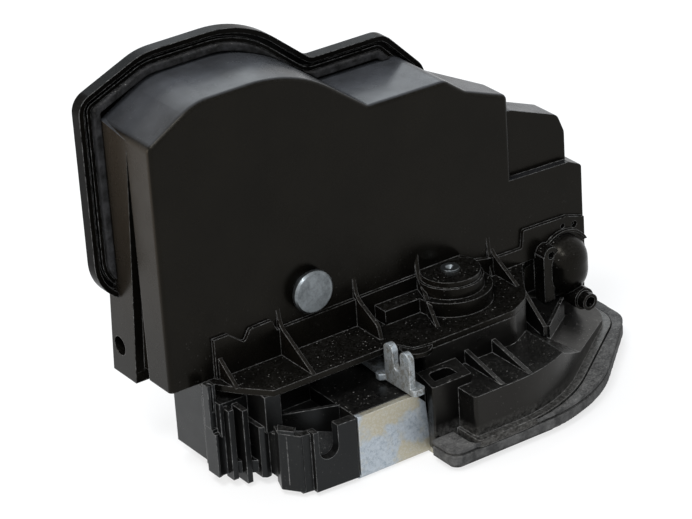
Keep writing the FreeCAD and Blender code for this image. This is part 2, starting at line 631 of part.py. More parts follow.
def torsion_spring(x, y, radius, wire_r, low, turns, start, leg):
    """A coil of square wire round a pin, with one straight leg at each end."""
    pitch = wire_r * 2 + 0.1
    coil = Part.makeHelix(pitch, pitch * turns, radius)
    section = outline([(radius - wire_r, -wire_r), (radius + wire_r, -wire_r), (radius + wire_r, wire_r),
                       (radius - wire_r, wire_r)], "xz")
    body = Part.Wire(coil.Edges).makePipeShell([section], True, True)
    first = block(radius - wire_r, radius + wire_r, -leg, 0.01, -wire_r, wire_r)
    second = block(radius - wire_r, radius + wire_r, -0.01, leg, -wire_r, wire_r)
    second.rotate(Vector(0, 0, 0), Vector(0, 0, 1), 360 * turns)
    second.translate(Vector(0, 0, pitch * turns))
    spring = fuse(body, first, second)
    spring.rotate(Vector(0, 0, 0), Vector(0, 0, 1), start)
    spring.translate(Vector(x, y, low + wire_r))
    return spring


def catch_spring():
    x, y = catch_place()
    return torsion_spring(x, y, HUB_R + 1.4, 0.55, CATCH_Z + CATCH_T + PLAY, 1.75, 0, 6)


def pawl_spring():
    x, y = pawl_place()
    return torsion_spring(x, y, PAWL_PIN_R + 1.2, 0.5, CATCH_Z + CATCH_T + PLAY, 2.25, 150, 5)


def lever_spring():
    return torsion_spring(LEVER_X, LEVER_Y, LEVER_PIN_R + 1.2, 0.5, LEVER_Z + LEVER_T + PLAY, 2.25, 60, 7)


def striker_buffer():
    end = SEAT_Y - SLOT_W / 2
    return plate([(SLOT_X - 5, end - 6, 1.5), (SLOT_X + 5, end - 6, 1.5), (SLOT_X + 5, end - 0.6, 1),
                  (SLOT_X - 5, end - 0.6, 1)], "xy", CATCH_Z + CATCH_T + 0.8, BACK_Z)


def low_floor():
    """The room above the sloping floor at the right end, outside the step."""
    reach = 60
    room = plate([(-3, SHELF_Z + reach), (-3, DECK_TOP - SLOPE_H + 3 * SLOPE_FALL),
                  (reach, DECK_TOP - SLOPE_H - reach * SLOPE_FALL), (reach, SHELF_Z + reach)], "xz", -reach, reach)
    room.rotate(Vector(0, 0, 0), Vector(0, 0, 1), -35.5)
    room.translate(Vector(113, -19.4, 0))
    ramp = plate([(DECK_END_X, SHELF_Z + 9), (DECK_END_X, DECK_TOP - 0.3),
                  (DECK_END_X + reach / 3, DECK_TOP - 0.3 - RAMP_FALL * reach / 3), (END_X + 9, RIM_Z + RIM_H),
                  (END_X + 9, SHELF_Z + 9)], "xz", -reach, -0.5)
    return room.common(ramp).cut(plate(STEP, "xy", 0, SHELF_Z + 9))


def latch_housing():
    lower = plate(BASE, "xy", PLATE_T + PLAY, DECK_TOP)
    upper = plate(STEP, "xy", DECK_TOP - 0.1, SHELF_Z)
    low = low_floor()
    lower = lower.cut(low)
    rim = slab(grown(BASE, "xy", RIM_OUT), "xy", RIM_Z, RIM_Z + RIM_H)
    rim = rim.common(block(BOW_LEFT - 1, END_X + 9, -60, BASE_BACK + 9, 0, 20))
    post = plate([(POST_X, POST_Y, 0.6), (POST_X + POST_W, POST_Y, 0.6), (POST_X + POST_W + 2, -24),
                  (POST_X + 2, -24)], "xy", PLATE_T + PLAY, POST_TOP)
    pocket = plate([(POST_X + POCKET, POST_Y + POCKET), (POST_X + POST_W - POCKET, POST_Y + POCKET),
                    (POST_X + POST_W - POCKET, -26.5, 2), (POST_X + POCKET + 1, -26.5, 2)], "xy",
                   POST_TOP - 8, POST_TOP + 1)
    ribs = [plate([(STEP_Y + 0.5, DECK_TOP + 4.3), (BASE_FRONT + 1, DECK_TOP), (STEP_Y + 0.5, DECK_TOP)], "yz",
                  x - 0.7, x + 0.7) for x in (87.1, 97.1)]
    web = plate([(-10.5, SHELF_Z), (-21.5, DECK_TOP), (-21.5, DECK_TOP - 3), (-10.5, DECK_TOP - 3)], "yz", 117.6, 118.8)
    pocket_wall = plate([(133.3, -9.6), (134, -10.4), (119.4, -22.2), (118.7, -21.4)], "xy", RIM_Z + 8, DECK_TOP)
    whole = fuse(lower, upper, rim, post, *ribs, web, pocket_wall)
    cavity = slab(grown(BASE, "xy", -BASE_WALL), "xy", PLATE_T, DECK_Z)
    low.translate(Vector(0, 0, -BASE_WALL))
    cavity = cavity.cut(low)
    chamber = plate([(PLATE_LEFT - 3, -14, 1), (SLOT_X + 8, -14, 3), (SLOT_X + 8, BASE_BACK - 6, 3),
                     (PLATE_LEFT - 3, BASE_BACK - 6, 3)], "xy", DECK_TOP, SHELF_Z + 1)
    chamber = fuse(chamber, block(PLATE_LEFT - 3, STEP_LEFT - 5, -40, -13, DECK_TOP, SHELF_Z + 1))
    mouth = slot(BASE_BACK + 6, PLATE_T - 1, BACK_Z - 0.5, 0.5)
    whole = whole.cut(fuse(cavity, mouth)).cut(chamber).cut(pocket)
    pins = [rod("z", LEVER_X, LEVER_Y, LEVER_PIN_R, DECK_Z, DECK_TOP + 1),
            rod("z", BOSS_X, BOSS_Y, BOSS_PIN_R, DECK_Z + 1.5, DECK_TOP + 1)]
    for pin in pins:
        whole = whole.cut(pin)
    side = block(PLATE_LEFT - PLAY, PLATE_LEFT + FLANGE_W + PLAY, PLATE_FRONT - PLAY, PLATE_FRONT + FLANGE_T + PLAY,
                 0, DECK_TOP + PLAY)
    return whole.cut(side)


def fin(x, front, back, low, high, thick=COMB_T):
    return block(x - thick / 2, x + thick / 2, front, back, low, high)


def comb():
    """The left end of the cable holder: a grooved block with stairs, a clip, two fins, a post and a tower."""
    left = plate([(COMB_X, -7), (COMB_X + 0.7, -7), (COMB_X + 2.3, -6.2, 3), (COMB_X + 4, -7), (COMB_X + 4.6, -7),
                  (COMB_X + 4.6, 2.5), (COMB_X, -1.4)], "xy", COMB_LOW, COMB_LOW + 14)
    stairs = [block(COMB_X, COMB_X + 2.6, -2.2 - STAIR_RUN * step, -1.4, COMB_LOW + 13,
                    COMB_LOW + 17.6 - STAIR_RISE * step) for step in range(4)]
    clip = block(COMB_X - 0.3, COMB_X - 0.3 + CLIP_W, -5.2, -2.2, CLIP_Z - 4, CLIP_TOP)
    gap = COMB_X - 0.3 + (CLIP_W - CLIP_SLOT) / 2
    clip = clip.cut(block(gap, gap + CLIP_SLOT, -6, -3.4, CLIP_Z + 1, CLIP_TOP + 1))
    rear = fin(COMB_X + 2.4, -7.5, -2, COMB_LOW + 13, COMB_LOW + 23.7, 1.2)
    wall = block(COMB_X + 2, 24, -6.2, 2.5, COMB_LOW, COMB_LOW + 22.8)
    fins = [fin(COMB_X + 4.2, -9.6, -6, COMB_LOW - 1, COMB_LOW + 21.8),
            fin(COMB_X + 7.6, -11.8, -6, COMB_LOW - 2.4, COMB_LOW + 21.6)]
    post = plate([(20, POST_FRONT + 1), (21, POST_FRONT, 0.9), (22.4, POST_FRONT, 0.9), (23.6, POST_FRONT + 1.2),
                  (23.6, -6), (20, -6)], "xy", COMB_LOW - 1, COMB_LOW + 15.6)
    tower = block(21.4, 26.8, TOWER_Y, -6, COMB_LOW + 14, SHELF_Z - PLAY)
    return [left, *stairs, clip, rear, wall, *fins, post, tower]


def cable_holder():
    """The moulding at the left that holds the outer end of the release cable."""
    right = PLATE_LEFT - PLAY
    front_wall = plate([(FRONT_WALL_X + 2.5, PLATE_FRONT + 0.8), (right, PLATE_FRONT, 0.6), (right, PLATE_FRONT + 3),
                        (FRONT_WALL_X + 2.5, PLATE_FRONT + 4)], "xy", FRONT_WALL_LOW, FRONT_WALL_TOP)
    groove_wall = plate([(FRONT_WALL_X - 1, PLATE_FRONT + 3), (FRONT_WALL_X + 3, PLATE_FRONT + 2.4),
                         (FRONT_WALL_X + 3, PLATE_FRONT + 5), (FRONT_WALL_X - 1, PLATE_FRONT + 5)], "xy",
                        FRONT_WALL_LOW, FRONT_WALL_TOP - 0.6)
    left_block = plate([(21.2, -21.8, 0.8), (FRONT_WALL_X, PLATE_FRONT + 1.2, 0.6), (FRONT_WALL_X, -22), (23, -17)],
                       "xy", FRONT_WALL_LOW + 0.6, FRONT_WALL_TOP - 0.4)
    raised = plate([(21.2, -21.8, 0.8), (24.4, -26, 0.4), (26, -24), (23, -19)], "xy", FRONT_WALL_TOP - 2,
                   FRONT_WALL_TOP + 0.8)
    ramp = plate([(-6, COMB_LOW), (-6, COMB_LOW + 14), (-17, COMB_LOW + 14, 6), (-24, FRONT_WALL_TOP - 1),
                  (-24, COMB_LOW)], "yz", 22.6, 25.4)
    floor = plate([(COMB_X + 5, -1), (COMB_X + 5, -8), (23, -14), (FRONT_WALL_X - 0.6, PLATE_FRONT + 5),
                   (right, PLATE_FRONT + 3), (right, 20), (COMB_X + 5, 20)], "xy", COMB_LOW, COMB_LOW + 4)
    slope = plate([(PLATE_FRONT + 3, COMB_LOW + 3), (PLATE_FRONT + 3, COMB_LOW + 5), (-14, COMB_LOW + 13),
                   (-6, COMB_LOW + 13), (-6, COMB_LOW + 3)], "yz", FRONT_WALL_X, right)
    web = plate([(COMB_X + 3, 2), (COMB_X + 3, 20), (right, 20), (right, -6), (26, -6), (26, 2)], "xy", COMB_LOW,
                SHELF_Z)
    trough = plate([(27, -13.6), (right, -20), (right, -21.2), (27, -14.8)], "xy", COMB_LOW, FRONT_WALL_TOP + 0.6)
    notch = fuse(rod("y", NOTCH_X, NOTCH_Z, NOTCH_R, PLATE_FRONT - 1, PLATE_FRONT + 4.4),
                 block(NOTCH_X - NOTCH_R, NOTCH_X + NOTCH_R, PLATE_FRONT - 1, PLATE_FRONT + 4.4, NOTCH_Z,
                       FRONT_WALL_TOP + 1))
    return fuse(front_wall, groove_wall, left_block, raised, ramp, floor, slope, trough, web, *comb()).cut(notch)


def base_seal():
    """The two-lipped foam seal round the face plate, open at the side flange and at the striker's way in."""
    outer = [(SEAL_LEFT, SEAL_FRONT, 4), (SLOT_X + 15.5, SEAL_FRONT, 50), (END_X + 5.5, -12, 8),
             (END_X + 7.5, BASE_BACK + 5, 10), (SLOT_X + SLOT_W / 2 + 4, BASE_BACK + 5, 2),
             (SLOT_X + SLOT_W / 2 + 4, -20), (SEAL_LEFT, -20)]
    body = fuse(slab(grown(outer, "xy", -SEAL_LIP), "xy", SEAL_Z, SEAL_Z + SEAL_LIP),
                plate(outer, "xy", SEAL_Z + SEAL_LIP, SEAL_H))
    groove = ring(outer, "xy", 1, -SEAL_GROOVE, SEAL_GROOVE_Z, SEAL_GROOVE_Z + 0.8)
    inner = slab(grown(PLATE, "xy", PLAY), "xy", -1, RIM_Z - PLAY)
    keep_out = slab(grown(BASE, "xy", PLAY), "xy", -1, SEAL_H + 1)
    under = slab(grown(BASE, "xy", RIM_OUT + PLAY), "xy", RIM_Z - PLAY, SEAL_H + 1)
    post = block(POST_X - 9, BOW_LEFT - 0.5, POST_Y - PLAY, 0, -1, SEAL_H + 1)
    return body.cut(groove).cut(inner).cut(keep_out).cut(under).cut(post)


def release_lever():
    arm = plate([(LEVER_X - 6, LEVER_Y + 4, 4), (LEVER_X + 2, LEVER_Y + 7, 4), (LEVER_X + 24, LEVER_Y + 1, 3),
                 (LEVER_X + 24, LEVER_Y - 6, 3), (LEVER_X + 13, LEVER_Y - 8, 4), (FORK_X + 4.4, -14, 3),
                 (FORK_X + 4.4, FORK_FRONT - 2, 1.5), (FORK_X, FORK_FRONT - 2, 1), (FORK_X, -18.5, 0.5),
                 (FORK_X - 1.6, -17.5, 0.5), (FORK_X - 1.6, -15.5, 0.5), (FORK_X, -14.5, 1), (FORK_X + 0.6, LEVER_Y - 8, 3),
                 (LEVER_X - 6, LEVER_Y - 5, 5)], "xy", LEVER_Z, LEVER_Z + LEVER_T)
    notch_w = FORK_BACK - FORK_FRONT - 2 * PRONG_W
    top = LEVER_Z + LEVER_T + FORK_H - 0.5
    notch_low = top - 7.5
    prong_r = PRONG_W / 2 - 0.05
    fork = plate([(FORK_FRONT, LEVER_Z), (FORK_FRONT, top, prong_r), (FORK_FRONT + PRONG_W, top, prong_r),
                  (FORK_FRONT + PRONG_W, notch_low, notch_w / 2 - 0.05),
                  (FORK_BACK - PRONG_W, notch_low, notch_w / 2 - 0.05), (FORK_BACK - PRONG_W, top, prong_r),
                  (FORK_BACK, top, prong_r), (FORK_BACK, LEVER_Z)], "yz", FORK_X, FORK_X + LEVER_T)
    return fuse(arm, fork).cut(rod("z", LEVER_X, LEVER_Y, LEVER_PIN_R + RUN, LEVER_Z - 1, LEVER_Z + LEVER_T + 1))


def lever_pin():
    shank = rod("z", LEVER_X, LEVER_Y, LEVER_PIN_R, DECK_Z, SHELF_Z)
    collar = rod("z", LEVER_X, LEVER_Y, LEVER_PIN_R + 2, DECK_TOP, LEVER_Z - RUN)
    return fuse(shank, collar)


def mushroom_stud():
    x, z = STUD_X, STUD_Z
    shank = rod("y", x, z, STUD_R, -RELIEF_T, GEAR_Y + GEAR_W + 1)
    collar = rod("y", x, z, STUD_COLLAR_R, -STUD_OUT + STUD_HEAD_T, 0)
    head = rod("y", x, z, STUD_HEAD_R, -STUD_OUT, -STUD_OUT + STUD_HEAD_T)
    rim = [e for e in head.Edges if abs(e.BoundBox.YMin + STUD_OUT) < 0.01 and abs(e.BoundBox.YMax + STUD_OUT) < 0.01]
    return fuse(shank, collar, head.makeChamfer(0.6, rim))


def boss_pin():
    top = FLOOR_Z + BOSS_RINGS[-1][1] + BOSS_PIN_OUT
    pin = rod("z", BOSS_X, BOSS_Y, BOSS_PIN_R, DECK_Z + 1.5, top)
    dimple = Part.makeCone(0.0, 1.5, 1.2, Vector(BOSS_X, BOSS_Y, top - 1.2))
    return pin.cut(dimple)


def lock_lever():
    z = LEVER_Z + LEVER_T + 1.2
    arm = plate([(BOSS_X - 6, BOSS_Y + 5, 4), (BOSS_X + 5, BOSS_Y + 6, 5), (BOSS_X + 6, BOSS_Y - 5, 5),
                 (BOSS_X - 6, BOSS_Y - 5, 4), (BOSS_X - 18, BOSS_Y + 1, 2.5), (BOSS_X - 18, BOSS_Y + 7, 2.5)],
                "xy", z, z + LOCK_LEVER_T)
    return arm.cut(rod("z", BOSS_X, BOSS_Y, BOSS_PIN_R + RUN, z - 1, z + LOCK_LEVER_T + 1))


def motor(x, low):
    """A flat-sided motor that stands on its worm's shaft."""
    can = rod("z", x, MOTOR_Y, MOTOR_R, low, low + MOTOR_L)
    return can.common(block(x - MOTOR_FLAT, x + MOTOR_FLAT, MOTOR_Y - MOTOR_R, MOTOR_Y + MOTOR_R, low, low + MOTOR_L))


def bored_motor(x, low):
    return motor(x, low).cut(rod("z", x, MOTOR_Y, SHAFT_R + RUN, low - 1, low + SHAFT_IN + 1))


def worm(x, z, side):
    """A worm with its motor's shaft; its thread meets a gap of the gear that lies on the given side."""
    pitch = 2 * math.pi * GEAR_R / GEAR_TEETH
    root = WORM_R - TOOTH_D
    run = WORM_L - 3
    core = rod("z", 0, 0, root, -WORM_L / 2, WORM_L / 2)
    shaft = rod("z", 0, 0, SHAFT_R, -WORM_L / 2 - 2, WORM_L / 2 + MOTOR_GAP + SHAFT_IN)
    section = outline([(root - 0.4, -0.7), (WORM_R + TOOTH_D * 0.7, -0.25), (WORM_R + TOOTH_D * 0.7, 0.25),
                       (root - 0.4, 0.7)], "xz")
    thread = Part.Wire(Part.makeHelix(pitch, run, root).Edges).makePipeShell([section], True, True)
    thread.translate(Vector(0, 0, -run / 2))
    thread.rotate(Vector(0, 0, 0), Vector(0, 0, 1), (0 if side > 0 else 180) - 360.0 * (run / 2 / pitch % 1))
    whole = fuse(core, shaft, thread)
    whole.translate(Vector(x, MOTOR_Y, z))
    return whole


def gear(x, z, bore, turn):
    """A worm wheel about y, its teeth set so that a gap meets the worm's thread."""
    disc = rod("y", 0, 0, GEAR_R - TOOTH_D, GEAR_Y, GEAR_Y + GEAR_W)
    teeth = []
    for index in range(GEAR_TEETH):
        tooth = plate([(GEAR_R - TOOTH_D - 0.3, -0.75), (GEAR_R + TOOTH_D * 0.7, -0.35),
                       (GEAR_R + TOOTH_D * 0.7, 0.35), (GEAR_R - TOOTH_D - 0.3, 0.75)], "xz", GEAR_Y, GEAR_Y + GEAR_W)
        tooth.rotate(Vector(0, 0, 0), Vector(0, 1, 0), 360.0 * index / GEAR_TEETH + turn)
        teeth.append(tooth)
    hub = rod("y", 0, 0, bore + 2.2, GEAR_Y - 0.1, GEAR_Y + GEAR_W + 0.1)
    rim_hollow = ring([(-6.4, -6.4, 6.3), (6.4, -6.4, 6.3), (6.4, 6.4, 6.3), (-6.4, 6.4, 6.3)], "xz", 2.2, -0.6,
                      GEAR_Y + 3.4, GEAR_Y + GEAR_W + 1)
    wheel = fuse(disc, *teeth, hub).cut(rim_hollow).cut(rod("y", 0, 0, bore + RUN, GEAR_Y - 1, GEAR_Y + GEAR_W + 1))
    wheel.translate(Vector(x, 0, z))
    return wheel


MOTOR_Y = GEAR_Y + GEAR_W / 2
LOCK_MOTOR_LOW = LOCK_Z + WORM_L / 2 + MOTOR_GAP
DEAD_WORM_X = STUD_X + GEAR_STEP
DEAD_MOTOR_LOW = STUD_Z + WORM_L / 2 + MOTOR_GAP


def contact_carrier():
    """The moulded plate on the panel's inner side, with a cradle for each motor."""
    corners = [(8, FLOOR_Z + 5), (8, FLOOR_Z + 66), (22, FLOOR_Z + 74, 4), (48, FLOOR_Z + 72, 6),
               (66, FLOOR_Z + 57, 6), (92, FLOOR_Z + 55, 4), (92, FLOOR_Z + 5, 2)]
    sheet = plate(corners, "xz", CARRIER_Y, CARRIER_Y + CARRIER_T)
    cradles = [block(x - MOTOR_R + 1, x + MOTOR_R - 1, CARRIER_Y, MOTOR_Y - 2, low + 3, low + MOTOR_L - 4)
               for x, low in ((LOCK_X, LOCK_MOTOR_LOW), (DEAD_WORM_X, DEAD_MOTOR_LOW))]
    whole = fuse(sheet, *cradles)
    whole = whole.cut(motor(LOCK_X, LOCK_MOTOR_LOW)).cut(motor(DEAD_WORM_X, DEAD_MOTOR_LOW))
    for x, z in [(STUD_X, STUD_Z), (LOCK_GEAR_X, LOCK_Z)] + SCREWS:
        whole = whole.cut(rod("y", x, z, BOSS_R + 1.2, CARRIER_Y - 1, CARRIER_Y + CARRIER_T + 1))
    return whole


def lead_frame():
    """Stamped brass strips that lie on the contact carrier."""
    low = CARRIER_Y + CARRIER_T
    strips = [block(64 + 3 * index, 65.4 + 3 * index, low, low + 0.4, FLOOR_Z + 8, FLOOR_Z + 24 - 2 * index)
              for index in range(5)]
    return Part.makeCompound(strips)


def micro_switch(x, z):
    low = CARRIER_Y + CARRIER_T
    body = block(x, x + 12.8, low, low + 5.8, z, z + 6.5)
    plunger = block(x + 3, x + 5, low + 1.9, low + 3.9, z + 6.4, z + 7.6)
    return fuse(body, plunger)


def gear_pin():
    return rod("y", LOCK_GEAR_X, LOCK_Z, GEAR_PIN_R, WALL, GEAR_Y + GEAR_W + 1)


INNER_X = 84.0
INNER_Z = FLOOR_Z + 9
INNER_T = 2.0
INNER_Y = BOX_D + 1.0


def inner_release_lever():
    """The lever on the back wall that the inside handle's cable turns."""
    low = INNER_Y
    arm = plate([(INNER_X - 24, INNER_Z + 3, 2.5), (INNER_X + 5, INNER_Z + 6, 5), (INNER_X + 6, INNER_Z - 6, 4),
                 (INNER_X - 3, INNER_Z - 7, 3), (INNER_X - 8, INNER_Z - 3, 4), (INNER_X - 24, INNER_Z - 3, 2.5)],
                "xz", low, low + INNER_T)
    arm = arm.cut(rod("y", INNER_X, INNER_Z, GEAR_PIN_R + RUN, low - 1, low + INNER_T + 1))
    return arm.cut(rod("y", INNER_X - 20.5, INNER_Z, 1.6, low - 1, low + INNER_T + 1))


def inner_lever_pin():
    low = INNER_Y
    shank = rod("y", INNER_X, INNER_Z, GEAR_PIN_R, BOX_D - WALL, low + INNER_T + 0.6)
    collar = rod("y", INNER_X, INNER_Z, GEAR_PIN_R + 1.6, BOX_D, low - RUN)
    head = rod("y", INNER_X, INNER_Z, GEAR_PIN_R + 1.4, low + INNER_T + RUN, low + INNER_T + 1.2)
    return fuse(shank, collar, head)


def housing_with_inner_pin():
    hole = rod("y", INNER_X, INNER_Z, GEAR_PIN_R, BOX_D - WALL - 1, BOX_D + 1)
    return actuator_housing().cut(hole)


PIECES = {
    "actuator_housing": housing_with_inner_pin,
    "rear_cover": rear_cover,
    "cover_seal": cover_seal,
    "cover_screws": cover_screws,
    "connector_pins": connector_pins,
    "face_plate": face_plate,
    "back_plate": back_plate,
    "catch_pin": lambda: latch_pin(*catch_place(), HUB_R - RUN),
    "pawl_pin": lambda: latch_pin(*pawl_place(), PAWL_PIN_R),
    "catch": catch,
    "catch_jacket": catch_jacket,
    "pawl": pawl,
    "catch_spring": catch_spring,
    "pawl_spring": pawl_spring,
    "striker_buffer": striker_buffer,
    "latch_housing": latch_housing,
    "cable_holder": cable_holder,
    "base_seal": base_seal,
    "release_lever": release_lever,
    "lever_pin": lever_pin,
    "lever_spring": lever_spring,
    "mushroom_stud": mushroom_stud,
    "boss_pin": boss_pin,
    "lock_lever": lock_lever,
    "lock_motor": lambda: bored_motor(LOCK_X, LOCK_MOTOR_LOW),
    "lock_worm": lambda: worm(LOCK_X, LOCK_Z, 1),
    "lock_gear": lambda: gear(LOCK_GEAR_X, LOCK_Z, GEAR_PIN_R, 180.0 / GEAR_TEETH),
    "gear_pin": gear_pin,
    "deadlock_motor": lambda: bored_motor(DEAD_WORM_X, DEAD_MOTOR_LOW),
    "deadlock_worm": lambda: worm(DEAD_WORM_X, STUD_Z, -1),
    "deadlock_gear": lambda: gear(STUD_X, STUD_Z, STUD_R, 180.0 / GEAR_TEETH),
    "contact_carrier": contact_carrier,
    "lead_frame": lead_frame,
    "lock_switch": lambda: micro_switch(12, FLOOR_Z + 22),
    "catch_switch": lambda: micro_switch(78, FLOOR_Z + 12),
    "inner_release_lever": inner_release_lever,
    "inner_lever_pin": inner_lever_pin,
}

os.makedirs("parts", exist_ok=True)
for name, build in PIECES.items():
    piece = build()
    piece.translate(Vector(-SLOT_X, -BOLT_Y, 0))
    piece.exportStep("parts/" + name + ".step")
    box = piece.BoundBox
    print(name, len(piece.Solids), round(piece.Volume), piece.isValid(),
          "x %.1f..%.1f y %.1f..%.1f z %.1f..%.1f" % (box.XMin, box.XMax, box.YMin, box.YMax, box.ZMin, box.ZMax))
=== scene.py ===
import math

import bmesh
import bpy
from mathutils import Matrix, Vector


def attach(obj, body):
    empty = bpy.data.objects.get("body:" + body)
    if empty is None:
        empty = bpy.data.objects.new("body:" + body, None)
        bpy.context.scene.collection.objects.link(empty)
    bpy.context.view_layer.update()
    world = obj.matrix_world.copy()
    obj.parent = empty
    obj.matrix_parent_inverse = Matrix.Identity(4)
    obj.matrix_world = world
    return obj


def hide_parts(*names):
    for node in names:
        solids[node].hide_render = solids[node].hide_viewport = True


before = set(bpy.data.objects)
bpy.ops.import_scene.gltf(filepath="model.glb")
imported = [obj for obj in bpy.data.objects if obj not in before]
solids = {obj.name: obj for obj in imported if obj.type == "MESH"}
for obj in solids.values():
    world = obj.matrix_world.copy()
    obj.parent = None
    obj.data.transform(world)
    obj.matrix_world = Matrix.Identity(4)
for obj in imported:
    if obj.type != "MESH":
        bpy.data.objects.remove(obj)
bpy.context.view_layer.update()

# Camera
# A long lens from the upper left, rolled a little, so that the latch stands on its face plate with the big
# panel turned away to the right.
MM = 0.001
FILM_WIDTH = 36.0
FOCAL_LENGTH = 176.88
FAR_LIMIT = 10.0
LENS_X = -526.61 * MM
LENS_Y = -715.70 * MM
LENS_Z = 499.92 * MM
lens = bpy.data.cameras.new("camera")
lens.sensor_width = FILM_WIDTH
lens.lens = FOCAL_LENGTH
lens.clip_end = FAR_LIMIT
camera = bpy.data.objects.new("camera", lens)
bpy.context.scene.collection.objects.link(camera)
# the columns are the lens's right, its up, its back and its place
camera.matrix_world = Matrix((
    (0.818198, 0.302088, -0.489177, LENS_X),
    (-0.571749, 0.33806, -0.747541, LENS_Y),
    (-0.060452, 0.891324, 0.449319, LENS_Z),
    (0, 0, 0, 1)))
bpy.context.scene.camera = camera


# Studio
# A white table top that keeps the soft shadow of the latch, in a white surround. A broad soft lamp high
# behind the latch puts a sheen on faces turned up. One lamp hangs above it, one stands at its left, and a
# small one in front draws thin lights along the rounded corners.
WHITE = (1, 1, 1, 1)
TABLE_HALF = 6.0
TABLE_WHITE = (0.95, 0.95, 0.95, 1)
TABLE_GLOW = 0.72
SURROUND_TINT = (0.95, 0.97, 1, 1)
SURROUND_LIGHT = 0.55
LAMPS_AIM_AT = Vector((0, 0, 50 * MM))


def put(tree, kind, feeds=None, **traits):
    """Add a shader node. Each feed is a value or the socket that drives it."""
    node = tree.nodes.new(kind)
    for trait, value in traits.items():
        setattr(node, trait, value)
    for socket, value in (feeds or {}).items():
        if isinstance(value, bpy.types.NodeSocket):
            tree.links.new(value, node.inputs[socket])
        else:
            node.inputs[socket].default_value = value
    return node


def calc(tree, operation, a, b, held=False):
    """Work out one number from two; held keeps it between 0 and 1."""
    return put(tree, "ShaderNodeMath", {0: a, 1: b}, operation=operation, use_clamp=held).outputs[0]


def seen_directly(tree):
    """1 where the camera, a reflection or glass looks at the surround, 0 where it only lights the latch."""
    rays = put(tree, "ShaderNodeLightPath").outputs
    either = calc(tree, "MAXIMUM", rays["Is Camera Ray"], rays["Is Glossy Ray"])
    return calc(tree, "MAXIMUM", either, rays["Is Transmission Ray"])


form = bmesh.new()
bmesh.ops.create_grid(form, x_segments=1, y_segments=1, size=TABLE_HALF)
table_mesh = bpy.data.meshes.new("table_top")
form.to_mesh(table_mesh)
form.free()
table = bpy.data.objects.new("table_top", table_mesh)
bpy.context.scene.collection.objects.link(table)
table_white = bpy.data.materials.new("table_white")
table_white.use_nodes = True
tree = table_white.node_tree
tree.nodes.clear()
matt = put(tree, "ShaderNodeBsdfDiffuse", {"Color": TABLE_WHITE})
glow = put(tree, "ShaderNodeEmission", {"Color": WHITE, "Strength": 1.0})
share = calc(tree, "MULTIPLY", seen_directly(tree), TABLE_GLOW)
mixed = put(tree, "ShaderNodeMixShader", {0: share, 1: matt.outputs[0], 2: glow.outputs[0]})
put(tree, "ShaderNodeOutputMaterial", {"Surface": mixed.outputs[0]})
table_mesh.materials.append(table_white)

world = bpy.data.worlds.new("surround")
world.use_nodes = True
bpy.context.scene.world = world
tree = world.node_tree
tree.nodes.clear()
lit = put(tree, "ShaderNodeBackground", {"Color": SURROUND_TINT, "Strength": SURROUND_LIGHT})
seen = put(tree, "ShaderNodeBackground", {"Color": WHITE, "Strength": 1.0})
mixed = put(tree, "ShaderNodeMixShader", {0: seen_directly(tree), 1: lit.outputs[0], 2: seen.outputs[0]})
put(tree, "ShaderNodeOutputWorld", {"Surface": mixed.outputs[0]})

for name, place, size, power, colour in (
        ("lamp_behind", (0.25, 0.75, 0.75), 0.85, 5.5, (0.84, 0.93, 1.0)),
        ("lamp_above", (-0.6, -0.3, 1.15), 0.42, 9, (0.97, 0.98, 1.0)),
        ("lamp_left", (-1.15, 0.2, 0.35), 0.5, 6, (1.0, 0.93, 0.84)),
        ("lamp_front", (-0.55, -1.0, 1.1), 0.2, 4, (0.94, 0.97, 1.0))):
    glowing = bpy.data.lights.new(name, "AREA")
    glowing.shape = "SQUARE"
    glowing.size = size
    glowing.energy = power
    glowing.color = colour
    lamp = bpy.data.objects.new(name, glowing)
    lamp.location = place
    lamp.rotation_euler = (LAMPS_AIM_AT - Vector(place)).to_track_quat("-Z", "Y").to_euler()
    bpy.context.scene.collection.objects.link(lamp)


# Face plate and back plate
# Pressed sheet steel, zinc plated and dull from handling: grey-blue with warmer, yellowish patches, small
# dark pits, and brighter metal where the edges are rubbed. The face plate is bent up at the left end.
def effect(name, inputs, outputs):
    """Start a shader node group: its tree, its input node and its output node."""
    group = bpy.data.node_groups.new(name, "ShaderNodeTree")
    for label, value in inputs.items():
        group.interface.new_socket(label, in_out="INPUT", socket_type="NodeSocketFloat").default_value = value
    for label, kind in outputs.items():
        group.interface.new_socket(label, in_out="OUTPUT", socket_type="NodeSocket" + kind)
    return group, group.nodes.new("NodeGroupInput"), group.nodes.new("NodeGroupOutput")


def place_effect(tree, group, feeds=None):
    """Put a group into a material, with its own values; what it puts out comes back."""
    return put(tree, "ShaderNodeGroup", feeds, node_tree=group).outputs


def own_place(tree):
    """Where a point lies in the latch."""
    return put(tree, "ShaderNodeTexCoord").outputs["Object"]


def own_facing(tree):
    """Which way the surface faces at a point."""
    return put(tree, "ShaderNodeNewGeometry").outputs["Normal"]


def xyz(tree, vector):
    """The three numbers of a place or of a direction."""
    return put(tree, "ShaderNodeSeparateXYZ", {0: vector}).outputs


def ramp(tree, value, low, high, bottom=0.0, top=1.0):
    """Stretch a value between low and high to one between bottom and top, held at the ends."""
    return put(tree, "ShaderNodeMapRange", {0: value, 1: low, 2: high, 3: bottom, 4: top}).outputs[0]


def sum_of(tree, a, b):
    return calc(tree, "ADD", a, b, held=True)


def product(tree, a, b):
    return calc(tree, "MULTIPLY", a, b)


def blended(tree, mask, a, b):
    """Mix two colours by a mask."""
    return put(tree, "ShaderNodeMix", {0: mask, 6: a, 7: b}, data_type="RGBA").outputs[2]


